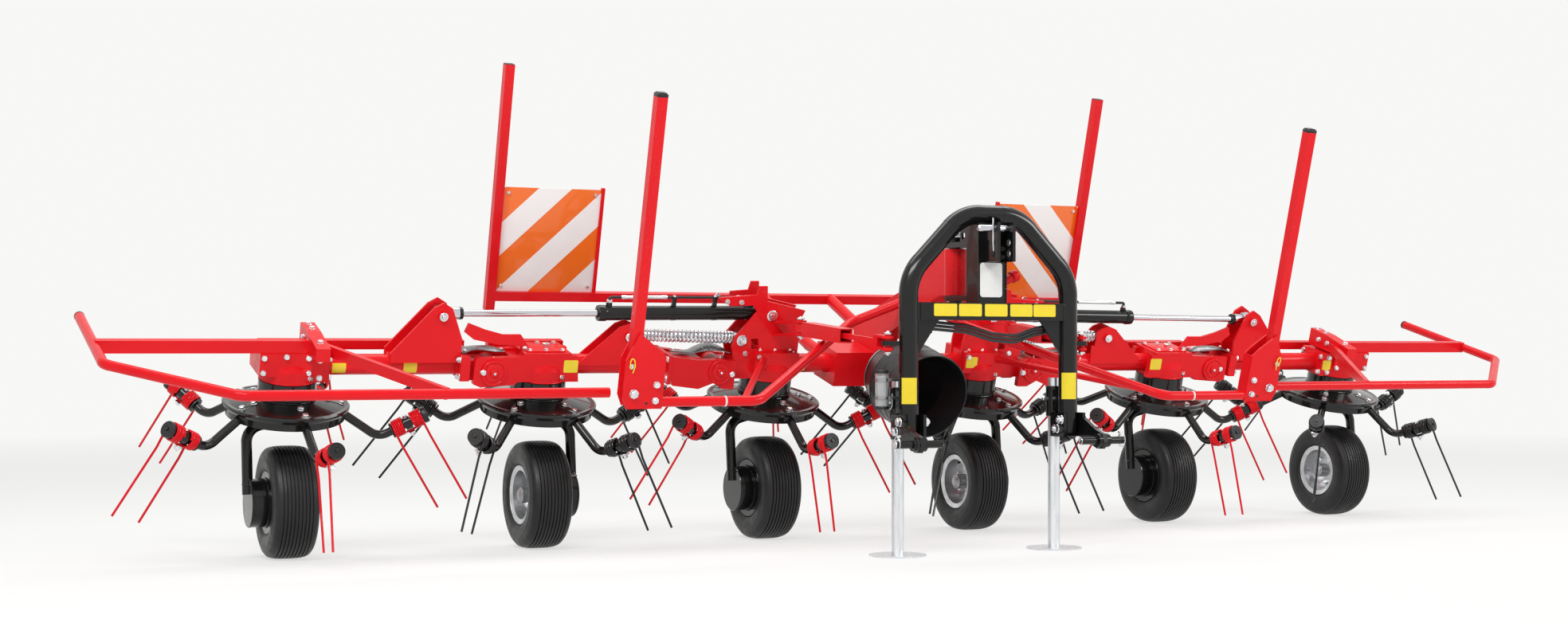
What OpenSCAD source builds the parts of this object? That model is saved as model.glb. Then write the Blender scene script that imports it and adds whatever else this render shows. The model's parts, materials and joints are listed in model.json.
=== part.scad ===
// Mounted rotary hay tedder with six rotors, unfolded and parked on its wheels and two stands.
// X runs across the machine, +Y is its rear, Z is up. The rotor frame leans forward about X.

/* [Rotors] */
// Distance between neighbouring rotor axes
rotor_pitch = 945; // [930:5:980]
// Forward lean of the whole rotor frame, in degrees
rotor_lean = 15.5; // [14:0.5:17]
// Place of the rotor axes behind the wheel line, along the leaning frame
rotor_back = 154; // [145:1:165]
// Number of arms on a rotor
arm_count = 5; // [4:1:6]
// Turn of the first arm on the odd rotors, in degrees
arm_phase = 62; // [50:1:70]
// Outer radius of the rotor disc
disc_r = 225; // [210:5:235]
// Height of the disc rim along the leaning frame
disc_z = 538; // [532:1:545]
// Diameter of the arm tube
arm_d = 32; // [28:1:34]
// Radius at which the middle of the two coils sits
coil_mid_r = 437; // [425:1:445]
// Outer diameter of a tine coil
coil_d = 68; // [60:1:72]
// Diameter of the tine wire
wire_d = 9; // [8:0.5:10]
// Turns in one coil
coil_turns = 5; // [4:1:6]
// Radius of the outer tine tips
tip_r = 668; // [640:2:676]
// Height of the outer tine tips along the leaning frame
tip_z = 210; // [190:5:240]

/* [Beams and gearboxes] */
// Height of the beam axis along the leaning frame
beam_z = 680; // [670:1:690]
// Diameter of the round beams
beam_d = 76; // [66:2:82]
// Distance of the inner fold hinge outboard of rotor axis 4
hinge_a_out = 240; // [225:1:250]
// Distance of the outer fold hinge outboard of rotor axis 5
hinge_b_out = 208; // [200:1:225]
// Diameter of a fold hinge pin
hinge_pin_d = 30; // [24:1:34]
// Diameter of a fold hinge knuckle
knuckle_d = 92; // [84:2:100]
// Width of a rotor gearbox across the machine
gearbox_w = 186; // [170:2:200]
// Depth of a rotor gearbox from front to back
gearbox_l = 170; // [150:5:180]
// Height of the box part of a gearbox
gearbox_h = 84; // [76:2:90]
// Radius of the round drum under the box of a gearbox
drum_r = 102; // [96:1:108]

/* [Wheels] */
// Outer diameter of a tyre
tyre_d = 405; // [395:1:410]
// Width of a tyre
tyre_w = 165; // [150:5:175]
// Diameter of the rim under the tyre bead
rim_d = 206; // [200:1:212]
// Diameter of the wheel axle
axle_d = 25; // [20:1:30]
// Diameter of the bent leg tube
leg_d = 38; // [32:1:42]

/* [Fold cylinders] */
// Outer diameter of the cylinder barrel
barrel_d = 56; // [50:1:60]
// Diameter of the chromed rod
rod_d = 26; // [20:1:30]
// Diameter of the pins in the cylinder and spring eyes
eye_pin_d = 25; // [20:1:28]

/* [Guards and signs] */
// Diameter of the guard tubes
guard_d = 36; // [32:1:40]
// Height of the guards along the leaning frame
guard_z = 765; // [760:1:780]
// Width of the posts that carry the sign boards and the front posts
post_w = 38; // [32:1:42]
// Height of the front posts above the guards
front_post_h = 1070; // [900:10:1150]
// Side of the square sign boards
sign_w = 420; // [380:5:440]

/* [Headstock] */
// Distance between the two headstock legs, middle to middle
headstock_w = 678; // [650:2:700]
// Outer diameter of the bent headstock tube
headstock_d = 70; // [60:1:76]
// Height of the top of the headstock above the floor
headstock_top = 1278; // [1240:2:1300]
// Diameter of the lower link pins
link_pin_d = 28; // [22:1:28]
// Diameter of the top link pin hole
top_pin_d = 25.6; // [25.4:0.1:26]
// Width of the gap in the top link clevis
top_gap = 52; // [52:1:60]
// Diameter of the vertical swivel pin
swivel_d = 50; // [40:1:56]
// Diameter of the parking stand tube
stand_d = 44; // [38:1:48]
// Diameter of the parking stand foot
stand_foot_d = 210; // [180:5:230]
// Outer diameter of the drive shaft guard bell
bell_d = 330; // [300:5:340]

/* [Hidden] */
$fn = 48;
seat_gap = 0.3;
run_gap = 0.05;

// Distance from the wheel line to the middle of the whole machine, front to back
y_shift = 197.5;

// One row for each rotor: number, place in pitches from the middle, side of its leg,
// phase sign (odd rotors +1, even rotors -1, which mesh half an arm pitch apart)
rotor_table = [
  [1, -2.5, -1, 1], [2, -1.5, 1, -1], [3, -0.5, -1, 1],
  [4, 0.5, 1, -1], [5, 1.5, -1, 1], [6, 2.5, 1, -1]
];
function rotor_x(i) = rotor_table[i - 1][1] * rotor_pitch;
function leg_side(i) = rotor_table[i - 1][2];
function phase_sign(i) = rotor_table[i - 1][3];
function first_arm(i) = phase_sign(i) > 0 ? arm_phase : 360 / arm_count - arm_phase;

hinge_a_x = rotor_pitch / 2 + hinge_a_out;
hinge_b_x = rotor_pitch * 1.5 + hinge_b_out;
hinge_z = beam_z - 10;
wheel_z = tyre_d / 2;

red = [0.80, 0.04, 0.07];
black = [0.06, 0.06, 0.07];
steel = [0.72, 0.73, 0.74];
rubber = [0.10, 0.10, 0.10];
orange = [0.95, 0.42, 0.08];

// Places a child on the floor-level frame, with the origin in the middle of the machine
module upright() translate([0, y_shift, 0]) children();

// Places a child on the leaning rotor frame
module leaning() translate([0, y_shift, 0]) rotate([rotor_lean, 0, 0]) children();

// Mirrors a right-hand child to the left
module side(s) { if (s > 0) children(); else mirror([1, 0, 0]) children(); }

// Round bar along X, Y or between two points
module bar_x(x0, x1, y, z, d) translate([x0, y, z]) rotate([0, 90, 0]) cylinder(d = d, h = x1 - x0);
module bar_y(x, y0, y1, z, d) translate([x, y0, z]) rotate([-90, 0, 0]) cylinder(d = d, h = y1 - y0);
module box_at(p0, p1) translate(p0) cube(p1 - p0);

function unit(v) = v / norm(v);
// A unit vector square to v
function square_to(v) = unit(abs(v[2]) < 0.9 * norm(v) ? cross(v, [0, 0, 1]) : cross(v, [1, 0, 0]));

// Frame with its origin at p, its Z along w and its X along u
module frame_at(p, u, w) {
  v = cross(w, u);
  multmatrix([[u[0], v[0], w[0], p[0]], [u[1], v[1], w[1], p[1]], [u[2], v[2], w[2], p[2]]])
    children();
}
// Flat bar of thickness t and height h between two points at the same height z
module flat_between(a, b, z, t, h) translate([a[0], a[1], z - h / 2])
  rotate([0, 0, atan2(b[1] - a[1], b[0] - a[0])]) translate([0, -t / 2, 0]) cube([norm(b - a), t, h]);
module rod_between(a, b, d) frame_at(a, square_to(b - a), unit(b - a)) cylinder(d = d, h = norm(b - a));

// Tangent length of the bend at point i of a path
function bend_angle(p, i) = acos(unit(p[i] - p[i - 1]) * unit(p[i + 1] - p[i]));
function bend_cut(p, i, r) = (i == 0 || i == len(p) - 1) ? 0 : r * tan(bend_angle(p, i) / 2);

// Round tube along a path of points, with a bend of radius r at each inner point.
// The straight lengths run into the bends by bend_lap, and a bend is a little wider, by the
// share bend_swell of the tube.
bend_lap = 1;
bend_swell = 0.02;
module bent_tube(p, d, r) {
  for (i = [0 : len(p) - 2]) {
    w = unit(p[i + 1] - p[i]);
    lap_a = i == 0 ? 0 : bend_lap;
    lap_b = i == len(p) - 2 ? 0 : bend_lap;
    rod_between(p[i] + w * (bend_cut(p, i, r) - lap_a), p[i + 1] - w * (bend_cut(p, i + 1, r) - lap_b), d);
  }
  for (i = [1 : len(p) - 2]) {
    u = unit(p[i] - p[i - 1]);
    v = unit(p[i + 1] - p[i]);
    n = unit(v - u * (u * v));
    frame_at(p[i] - u * bend_cut(p, i, r) + n * r, -n, cross(-n, u))
      rotate_extrude(angle = bend_angle(p, i)) translate([r, 0]) circle(d = d * (1 + bend_swell));
  }
}

// Plate with its outline in X and Z, or in Y and Z
module plate_xz(points, y, t)
  translate([0, y + t / 2, 0]) rotate([90, 0, 0]) linear_extrude(t) polygon(points);
module plate_yz(points, x, t)
  translate([x - t / 2, 0, 0]) rotate([90, 0, 90]) linear_extrude(t) polygon(points);

// Headstock: bent arch, crossbeam, channel column and swivel clevis
headstock_y = -946;
arch_bend_r = 170;
leg_foot_z = 440;
arch_x = headstock_w / 2;
arch_z = headstock_top - headstock_d / 2;
arch_shoulder_z = headstock_top - 262;
arch_shoulder_x = arch_x - 224;
crossbeam_z = 888;
crossbeam_h = 64;
gusset_w = 125;
gusset_h = 178;
column_w = 116;
column_front_y = headstock_y - 17;
column_back_y = headstock_y + 70;
column_wall = 8;
swivel_y = -700;
swivel_low_z = 950;
swivel_high_z = 1130;
clevis_t = 20;
boom_lug_d = 88;
column_lug_z = [1124, 1200];

module headstock_arch() {
  bent_tube([
    [-arch_x, headstock_y, leg_foot_z], [-arch_x, headstock_y, arch_shoulder_z],
    [-arch_shoulder_x, headstock_y, arch_z], [arch_shoulder_x, headstock_y, arch_z],
    [arch_x, headstock_y, arch_shoulder_z], [arch_x, headstock_y, leg_foot_z]
  ], headstock_d, arch_bend_r);
}

// Channel with its web in front and its open side at the rear
module column() difference() {
  box_at([-column_w / 2, column_front_y, crossbeam_z], [column_w / 2, column_back_y, arch_z]);
  box_at([-column_w / 2 + column_wall, column_front_y + column_wall, crossbeam_z + crossbeam_h / 2],
         [column_w / 2 - column_wall, column_back_y + 1, arch_z - headstock_d]);
}

module headstock_frame() color(black) upright() {
  difference() {
    union() {
      headstock_arch();
      box_at([-arch_x, headstock_y - 28, crossbeam_z - crossbeam_h / 2],
             [arch_x, headstock_y + 28, crossbeam_z + crossbeam_h / 2]);
      column();
      for (z = [swivel_low_z - clevis_t, swivel_high_z]) swivel_ear(z);
      for (s = [-1, 1]) {
        gusset_z = crossbeam_z - crossbeam_h / 2 + 2;
        plate_xz([[s * arch_x, gusset_z], [s * (arch_x - gusset_w), gusset_z],
                  [s * arch_x, gusset_z - gusset_h]], headstock_y, 8);
        column_lug(s);
        link_bracket(s);
        stand_sleeve(s);
      }
    }
    for (s = [-1, 1]) translate([s * stand_x, stand_y, 450]) cylinder(d = stand_d + 1, h = 300);
  }
  translate([0, swivel_y, swivel_low_z - clevis_t - 15])
    cylinder(d = swivel_d, h = swivel_high_z - swivel_low_z + 2 * clevis_t + 30);
}

module swivel_ear(z) {
  translate([0, swivel_y, z]) cylinder(d = boom_lug_d, h = clevis_t);
  box_at([-boom_lug_d / 2, column_front_y + 4, z], [boom_lug_d / 2, swivel_y, z + clevis_t]);
}

// Lug at the top of each column side, with a square hole
module column_lug(s) {
  lug_x = s * (column_w / 2 - column_wall / 2);
  z0 = column_lug_z[0];
  y0 = column_back_y;
  difference() {
    box_at([lug_x - column_wall / 2, y0 - 12, z0], [lug_x + column_wall / 2, y0 + 44, column_lug_z[1]]);
    box_at([lug_x - column_wall, y0 + 10, z0 + 34], [lug_x + column_wall, y0 + 32, z0 + 56]);
  }
}

// Parking stands: tube, foot and pin, in a sleeve on each leg
stand_x = arch_x - 4;
stand_y = -857;
stand_top = 643;
stand_low_sleeve = 500;
stand_sleeve_h = 110;
stand_foot_t = 5;

module stand_sleeve(s) {
  translate([s * stand_x, stand_y, stand_low_sleeve]) cylinder(d = stand_d + 16, h = stand_sleeve_h);
  box_at([s * stand_x - 22, headstock_y, stand_low_sleeve + 20],
         [s * stand_x + 22, stand_y - stand_d / 2 - 4, stand_low_sleeve + stand_sleeve_h - 10]);
}

module stand(s) color(steel) upright() {
  difference() {
    union() {
      translate([s * stand_x, stand_y, 0]) cylinder(d = stand_foot_d, h = stand_foot_t);
      translate([s * stand_x, stand_y, 0]) cylinder(d = stand_d, h = stand_top);
    }
    translate([s * stand_x, stand_y, stand_foot_t + 5]) cylinder(d = stand_d - 6, h = stand_top);
  }
}

// Stabiliser links: a bar hinged on each leg bracket, running in a sleeve hinged on the frame
link_front = [arch_x + 73, headstock_y + 21, 772];
link_rear = [470, -330, 832];
link_tongue_t = 16;
link_pin = 20;

module link_bracket(s) {
  side(s) difference() {
    union() {
      translate([link_front[0], link_front[1], link_front[2] - link_tongue_t / 2])
        cylinder(d = 46, h = link_tongue_t);
      box_at([arch_x, link_front[1] - 23, link_front[2] - link_tongue_t / 2],
             [link_front[0], link_front[1] + 23, link_front[2] + link_tongue_t / 2]);
    }
    translate([link_front[0], link_front[1], link_front[2] - 50])
      cylinder(d = link_pin + 2 * run_gap, h = 100);
  }
}

// Unit vector along a right-hand link, from its front pin to its rear pin
link_dir = unit([link_rear[0] - link_front[0], link_rear[1] - link_front[1], link_rear[2] - link_front[2]]);
link_len = norm(link_rear - link_front);
link_side_dir = unit(cross([0, 0, 1], link_dir));

module link_frame() frame_at(link_front, link_dir, cross(link_dir, -link_side_dir)) children();

module link_bar(s) color(red) upright() side(s) {
  for (z = [-1, 1]) translate([link_front[0], link_front[1], link_front[2] + z * 21 - 5])
    cylinder(d = 40, h = 10);
  link_frame() {
    for (z = [-1, 1]) translate([0, -16, z * 21 - 5]) cube([70, 32, 10]);
    translate([50, -16, -26]) cube([24, 32, 52]);
    translate([60, -8, -10]) cube([330, 16, 20]);
  }
  translate([link_front[0], link_front[1], link_front[2] - 34]) cylinder(d = link_pin, h = 68);
}

module link_sleeve(s) color(red) upright() side(s) {
  difference() {
    union() {
      link_frame() translate([280, -29, -27]) cube([link_len - 330, 58, 54]);
      link_frame() translate([link_len - 70, -20, -14]) cube([70, 40, 28]);
      translate([link_rear[0], link_rear[1], link_rear[2] - 14]) cylinder(d = 46, h = 28);
    }
    link_frame() translate([270, -23, -22]) cube([link_len - 335, 46, 44]);
    translate([link_rear[0], link_rear[1], link_rear[2] - 60]) cylinder(d = link_pin + 2 * run_gap, h = 120);
  }
}

// Lower hitch: a channel clevis under each leg with a forward arm and its link pin
hitch_pin_y = -1103;
hitch_pin_z = 415;
hitch_arm_x = arch_x + 46;
hitch_arm_t = 16;
hitch_inner_x = arch_x - 47;
hitch_outer_x = arch_x + 140;
hitch_bolt_z = 469;

module lower_hitch() color(black) upright() for (s = [-1, 1]) side(s) {
  difference() {
    box_at([arch_x - 47, headstock_y - 47, 425], [arch_x + 47, headstock_y + 47, 515]);
    box_at([arch_x - headstock_d / 2 - seat_gap, headstock_y - 60, 400],
           [arch_x + headstock_d / 2 + seat_gap, headstock_y + headstock_d / 2 + seat_gap, 530]);
    translate([stand_x, stand_y, 400]) cylinder(d = stand_d + 18, h = 200);
  }
  plate_yz([[headstock_y + 30, 505], [headstock_y - 20, 510], [hitch_pin_y + 30, 455],
            [hitch_pin_y - 18, 440], [hitch_pin_y - 30, 412], [hitch_pin_y - 12, 385], [hitch_pin_y + 20, 385],
            [headstock_y - 20, 430], [headstock_y + 30, 440]], hitch_arm_x - 2, hitch_arm_t);
  bar_x(hitch_arm_x - 24, hitch_arm_x + 20, hitch_pin_y, hitch_pin_z, 52);
  bar_x(hitch_inner_x, hitch_outer_x, hitch_pin_y, hitch_pin_z, link_pin_d);
}

// Top link bracket on the column
top_pin_z = 1188;
top_pin_y = -1035;
top_ear_t = 12;
top_ear_low_z = 1068;
top_ear_high_z = 1210;

module top_link_bracket() color(black) upright() {
  back_y = column_front_y - seat_gap;
  difference() {
    union() {
      for (s = [-1, 1]) box_at(
        [s * (top_gap / 2 + top_ear_t / 2) - top_ear_t / 2, top_pin_y - 30, top_ear_low_z],
        [s * (top_gap / 2 + top_ear_t / 2) + top_ear_t / 2, back_y, top_ear_high_z]);
      box_at([-top_gap / 2 - top_ear_t, back_y - 12, top_ear_low_z],
             [top_gap / 2 + top_ear_t, back_y, top_ear_high_z]);
    }
    for (z = [0, -50, -90]) bar_x(-100, 100, top_pin_y, top_pin_z + z, top_pin_d);
  }
}

// Centre frame: round beam and boom, with the cylinder brackets and hinge knuckles beside them
cyl_y = 145;
cyl_base = [rotor_pitch / 2 + 30.5, 887];
cyl_rod = [hinge_b_x + 198.5, 875];
spring_base = [hinge_a_x - 91.5, 787];
spring_wing = [hinge_a_x + 375.5, 797];
bracket_gap = 74;
bracket_t = 10;
// Outlines in X and Z, with X from rotor axis 4. The nose of the rear plate is short,
// so that it clears the inner beam when the wing is folded up.
bracket_body = [
  [104, 970], [96, 1004], [63, 1005], [56, 945], [-112, 909], [-88, 852],
  [-98, 777], [-98, 710], [172, 700], [187, 760], [178, 800], [96, 902], [117, 928]
];
front_nose = [[213, 924], [265, 957]];
rear_nose = [[181, 925], [181, 963]];

module centre_frame() color(red) difference() {
  union() {
    leaning() bar_x(-rotor_pitch / 2, rotor_pitch / 2, rotor_back, beam_z, beam_d);
    boom();
  }
  centre_gearbox_room();
}

// The centre gearboxes with the seat gap round them, cut out of what is bolted to them
module centre_gearbox_room() leaning() {
  for (i = [3, 4]) gearbox(rotor_x(i), seat_gap);
  input_gearbox(seat_gap);
}

module centre_brackets() color(red) difference() {
  union() {
    for (s = [-1, 1]) leaning() side(s) centre_bracket();
    for (s = [-1, 1]) upright() side(s) link_ear();
  }
  centre_gearbox_room();
}

module centre_bracket() {
  difference() {
    union() {
      translate([rotor_pitch / 2, 0, 0]) {
        plate_xz(concat(front_nose, bracket_body), cyl_y - (bracket_gap + bracket_t) / 2, bracket_t);
        plate_xz(concat(rear_nose, bracket_body), cyl_y + (bracket_gap + bracket_t) / 2, bracket_t);
        box_at([-33, cyl_y - bracket_gap / 2, 720], [88, cyl_y + bracket_gap / 2, 762]);
      }
      knuckle_arm();
    }
    bar_y(cyl_base[0], 0, 400, cyl_base[1], eye_pin_d + 0.1);
    bar_y(spring_base[0], 0, 400, spring_base[1], eye_pin_d + 0.1);
    translate([rotor_pitch / 2, 0, 0]) plate_xz([[71, 751], [104, 751], [110, 794], [76, 794]], cyl_y, 200);
    bar_y(hinge_a_x, -100, 400, hinge_z, hinge_pin_d + 2 * run_gap);
  }
}

// Middle knuckle of the inner fold hinge, with its web to the gearbox
knuckle_l = 90;
module knuckle_arm() {
  bar_y(hinge_a_x, cyl_y - knuckle_l / 2, cyl_y + knuckle_l / 2, hinge_z, knuckle_d);
  box_at([rotor_pitch / 2 + 60, cyl_y - knuckle_l / 2, hinge_z - 38],
         [hinge_a_x, cyl_y + knuckle_l / 2, hinge_z + 38]);
}

boom_w = 80;
boom_outline = [
  [60, 690], [60, 860], [-394, 994], [-560, 1112], [-612, 1127], [swivel_y, 1127],
  [swivel_y, 953], [-640, 953], [-170, 790], [-120, 690]
];
module boom() upright() {
  difference() {
    union() {
      plate_yz(boom_outline, 0, boom_w);
      translate([0, swivel_y, swivel_low_z + 3])
        cylinder(d = boom_lug_d, h = swivel_high_z - swivel_low_z - 6);
    }
    translate([0, swivel_y, 0]) cylinder(d = swivel_d + 2 * run_gap, h = 2000);
  }
}

module link_ear() {
  for (z = [-1, 1]) translate([link_rear[0], link_rear[1], link_rear[2] + z * 24 - 5]) {
    cylinder(d = 46, h = 10);
    translate([-23, 0, 0]) cube([46, 210, 10]);
  }
  translate([link_rear[0], link_rear[1], link_rear[2] - 34]) cylinder(d = link_pin, h = 68);
}

// Rotor gearboxes: a round drum with a domed shoulder, and a box on it that may sit outboard by shift
gearbox_top = beam_z + 62;
drum_low_z = disc_z + 90;
module gearbox(x, grow = 0, shift = 0) translate([x, rotor_back, 0]) {
  rotate_extrude() polygon([
    [0, drum_low_z - grow], [drum_r + grow, drum_low_z - grow], [drum_r + grow, drum_low_z + 44],
    [drum_r - 6 + grow, drum_low_z + 60], [drum_r - 22 + grow, drum_low_z + 71 + grow],
    [0, drum_low_z + 71 + grow]
  ]);
  translate([shift, 0, gearbox_top - gearbox_h / 2])
    cube([gearbox_w + 2 * grow, gearbox_l + 2 * grow, gearbox_h + 2 * grow], center = true);
}

module input_gearbox(grow = 0) {
  box_at([-215 - grow, rotor_back - 90 - grow, beam_z - 72 - grow],
         [215 + grow, rotor_back + 90 + grow, beam_z + 66 + grow]);
  translate([0, rotor_back - 90, beam_z]) rotate([90, 0, 0]) cylinder(d = 150 + 2 * grow, h = 60 + grow);
}

module centre_gearboxes() color(red) leaning() {
  for (i = [3, 4]) gearbox(rotor_x(i));
  input_gearbox();
}

// Leg under a rotor: fixed column, bent tube, hub plate and axle
column_d = 70;
leg_x = 138;
hub_plate_x = 112;
module leg(i) {
  sx = leg_side(i);
  leaning() translate([rotor_x(i), rotor_back, 0]) {
    translate([0, 0, disc_z - 75]) cylinder(d = column_d, h = drum_low_z - disc_z + 75 - seat_gap);
    translate([0, 0, disc_z - 75]) cylinder(d = 120, h = 20);
    translate([-30, 20, disc_z - 95]) cube([60, 70, 30]);
  }
  upright() translate([rotor_x(i), 0, 0]) side(sx) {
    // The lowest point of the column on the upright frame
    top_y = rotor_back * cos(rotor_lean) - (disc_z - 66) * sin(rotor_lean);
    top_z = rotor_back * sin(rotor_lean) + (disc_z - 66) * cos(rotor_lean);
    bent_tube([[20, top_y, top_z], [leg_x, top_y, top_z - 30], [leg_x, 0, wheel_z + 30]], leg_d, 60);
    bar_x(hub_plate_x, hub_plate_x + 8, 0, wheel_z, 150);
    bar_x(hub_plate_x + 8, leg_x, 0, wheel_z, 62);
    box_at([hub_plate_x + 8, -27, wheel_z - 34], [leg_x, 27, wheel_z + 66]);
    bar_x(-30, leg_x, 0, wheel_z, axle_d);
  }
}

module centre_legs() color(black) { leg(3); leg(4); }
module inner_leg(i) color(black) leg(i);
module outer_leg(i) color(black) leg(i);

// Drive shaft guard bell and the input shaft, both along the drive axis
module on_drive() leaning() translate([0, rotor_back - 150 - seat_gap, beam_z]) rotate([90, 0, 0]) children();
module drive_guard() color(black) on_drive() rotate_extrude() polygon([
  [60, 0], [100, 0], [120, 20], [bell_d / 2, 150], [bell_d / 2, 330], [bell_d / 2 - 5, 330],
  [bell_d / 2 - 5, 152], [116, 25], [98, 5], [60, 5]
]);
shaft_d = 34.9;
shaft_l = 110;
module drive_shaft() color(steel) on_drive() cylinder(d = shaft_d, h = shaft_l);

// Inner guards: bent tube, brace and the two plates that the front post turns between
inner_guard_y = -632;
post_x = rotor_x(5) - 59.5;
post_y = -622;
post_plate_t = 8;
post_plate_off = post_w / 2 + 1 + post_plate_t / 2;
post_plate = [[22, 745], [39, 785], [39, 918], [-3, 1015], [-82, 956], [-108, 930], [-110, 745]];
module inner_guard() difference() {
  union() {
    bent_tube([[post_x - 45, inner_guard_y, guard_z], [post_x - 488, inner_guard_y, guard_z],
               [240, -60, guard_z + 138], [20, -132, guard_z + 257]], guard_d, 90);
    translate([post_x, 0, 0]) {
      for (y = [-1, 1]) plate_xz(post_plate, post_y + y * post_plate_off, post_plate_t);
      box_at([-110, post_y - post_plate_off, 745], [-102, post_y + post_plate_off, 930]);
      bar_y(0, post_y - post_plate_off - 14, post_y + post_plate_off + 14, post_pivot_z, 12);
    }
    rod_between([post_x - 428, inner_guard_y, guard_z], [rotor_x(4) + 52, rotor_back - 70, 715], 26);
  }
  box_at([-100, -400, 700], [boom_w / 2 + seat_gap, 200, 1300]);
  gearbox(rotor_x(4), seat_gap);
}
module inner_guards() color(red) leaning() for (s = [-1, 1]) side(s) inner_guard();

// Front posts: square tubes that fold outward about a bolt in the post plate
post_pivot_z = 800;
module front_post(s) color(red) leaning() side(s) difference() {
  box_at([post_x - post_w / 2, post_y - post_w / 2, post_pivot_z - 15],
         [post_x + post_w / 2, post_y + post_w / 2, guard_z + front_post_h]);
  bar_y(post_x, post_y - post_w, post_y + post_w, post_pivot_z, 12 + 2 * run_gap);
}

// Sign frame at the rear: bar, posts, and the square boards inboard of them
sign_post_x = rotor_x(5) - 27.5;
sign_y = 905;
sign_bar_z = 755;
sign_top_z = 1700;
sign_low_z = sign_bar_z + post_w / 2 + 20;
module sign_frame() color(red) leaning() {
  box_at([-sign_post_x, sign_y - post_w / 2, sign_bar_z - post_w / 2],
         [sign_post_x, sign_y + post_w / 2, sign_bar_z + post_w / 2]);
  for (s = [-1, 1]) side(s) {
    box_at([sign_post_x - post_w / 2, sign_y - post_w / 2, sign_bar_z - 60],
           [sign_post_x + post_w / 2, sign_y + post_w / 2, sign_top_z]);
    box_at([sign_post_x - post_w / 2 - sign_w - 14, sign_y - 8, sign_bar_z],
           [sign_post_x - post_w / 2 - sign_w, sign_y + 8, sign_low_z + sign_w]);
    bent_tube([[160, rotor_back + 90 + seat_gap, beam_z], [160, 420, beam_z],
               [160, sign_y, sign_bar_z]], 50, 120);
  }
}
module sign_boards() color(orange) leaning() for (s = [-1, 1]) side(s)
  box_at([sign_post_x - post_w / 2 - sign_w + seat_gap, sign_y - 3, sign_low_z],
         [sign_post_x - post_w / 2 - seat_gap, sign_y + 1, sign_low_z + sign_w]);

// Hinge fork with its plates in X and Z about the hinge, a web and the flange at reach
fork_gap = knuckle_l + 12;
fork_t = 26;
fork_off = (fork_gap + fork_t) / 2;
fork_web_x = 75;
fork_plate = [
  [-65, 41], [-65, -71], [-20, -71], [23, -47], [84, -70], [193, -56], [206, -30], [206, 59],
  [97, 46], [20, 46]
];
flange_t = 12;
module fork_bosses(x) {
  for (y = [-1, 1]) bar_y(x, cyl_y + y * (fork_off + 6) - fork_t / 2, cyl_y + y * (fork_off + 6) + fork_t / 2,
                          hinge_z, knuckle_d + 8);
  bar_y(x, cyl_y - fork_off - fork_t / 2 - 14, cyl_y + fork_off + fork_t / 2 + 14, hinge_z, hinge_pin_d);
}
module fork_a(reach) {
  fork_bosses(hinge_a_x);
  translate([hinge_a_x, 0, hinge_z]) {
    for (y = [-1, 1]) plate_xz(fork_plate, cyl_y + y * fork_off, fork_t);
    box_at([fork_web_x, cyl_y - fork_gap / 2, -48], [reach, cyl_y + fork_gap / 2, 48]);
    box_at([reach - flange_t, cyl_y - fork_off - fork_t / 2 - 4, -50],
           [reach, cyl_y + fork_off + fork_t / 2 + 4, 64]);
  }
}

// Housing plates on both sides of the inner gearbox, which make the fork of the outer hinge
fork_a_reach = 218;
housing_plate = [
  [rotor_x(5) - 126, 633], [rotor_x(5) - 115, 734], [hinge_b_x + 70, 725], [hinge_b_x + 74, 690],
  [hinge_b_x + 74, 625], [hinge_b_x + 45, 613], [hinge_b_x - 84, 622], [rotor_x(5) + 112, 633]
];
module fork_b() {
  fork_bosses(hinge_b_x);
  for (y = [-1, 1]) plate_xz(housing_plate, cyl_y + y * fork_off, fork_t);
  box_at([rotor_x(5) + gearbox_w / 2 - 5, cyl_y - fork_gap / 2, 640],
         [hinge_b_x - fork_web_x, cyl_y + fork_gap / 2, 718]);
}

// Hook plate that the outer wing rests against, with X from the outer hinge
hook_plate = [[-160, 735], [-116, 735], [-116, 757], [-26, 763], [69, 782], [106, 810], [93, 844],
              [26, 819], [-42, 801], [-112, 801]];
spring_plate = [[577, 684], [412, 835], [375, 848], [338, 835], [321, 820], [321, 763],
                [306, 763], [306, 684]];
module inner_wing(s) color(red) leaning() side(s) {
  fork_a(fork_a_reach);
  bar_x(hinge_a_x + fork_a_reach - 5, rotor_x(5) - 60, rotor_back, beam_z, beam_d);
  gearbox(rotor_x(5));
  bar_x(rotor_x(5) - 90, rotor_x(5) + 90, rotor_back, beam_z, beam_d);
  tie_bar(rotor_x(5) - 120, hinge_b_x - 30, rotor_x(5));
  translate([hinge_a_x, 0, 0]) for (y = [-1, 1]) plate_xz(spring_plate, cyl_y + y * 30, 8);
  for (y = [-1, 1])
    bar_y(spring_wing[0], cyl_y + y * 34 - 8, cyl_y + y * 34 + 8, spring_wing[1], eye_pin_d + 8);
  translate([hinge_b_x, 0, 0]) plate_xz(hook_plate, cyl_y - 19, 12);
  fork_b();
}

// Tie bars behind the gearboxes, one on each wing section
tie_bar_y = rotor_back + gearbox_l / 2 + 30;
tie_bar_z = beam_z + 45;
module tie_bar(x0, x1, x_foot) {
  box_at([x0, tie_bar_y - 17, tie_bar_z - 17], [x1, tie_bar_y + 17, tie_bar_z + 17]);
  box_at([x_foot - 30, rotor_back + gearbox_l / 2 - 10, tie_bar_z - 12],
         [x_foot + 30, tie_bar_y, tie_bar_z + 8]);
}

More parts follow.
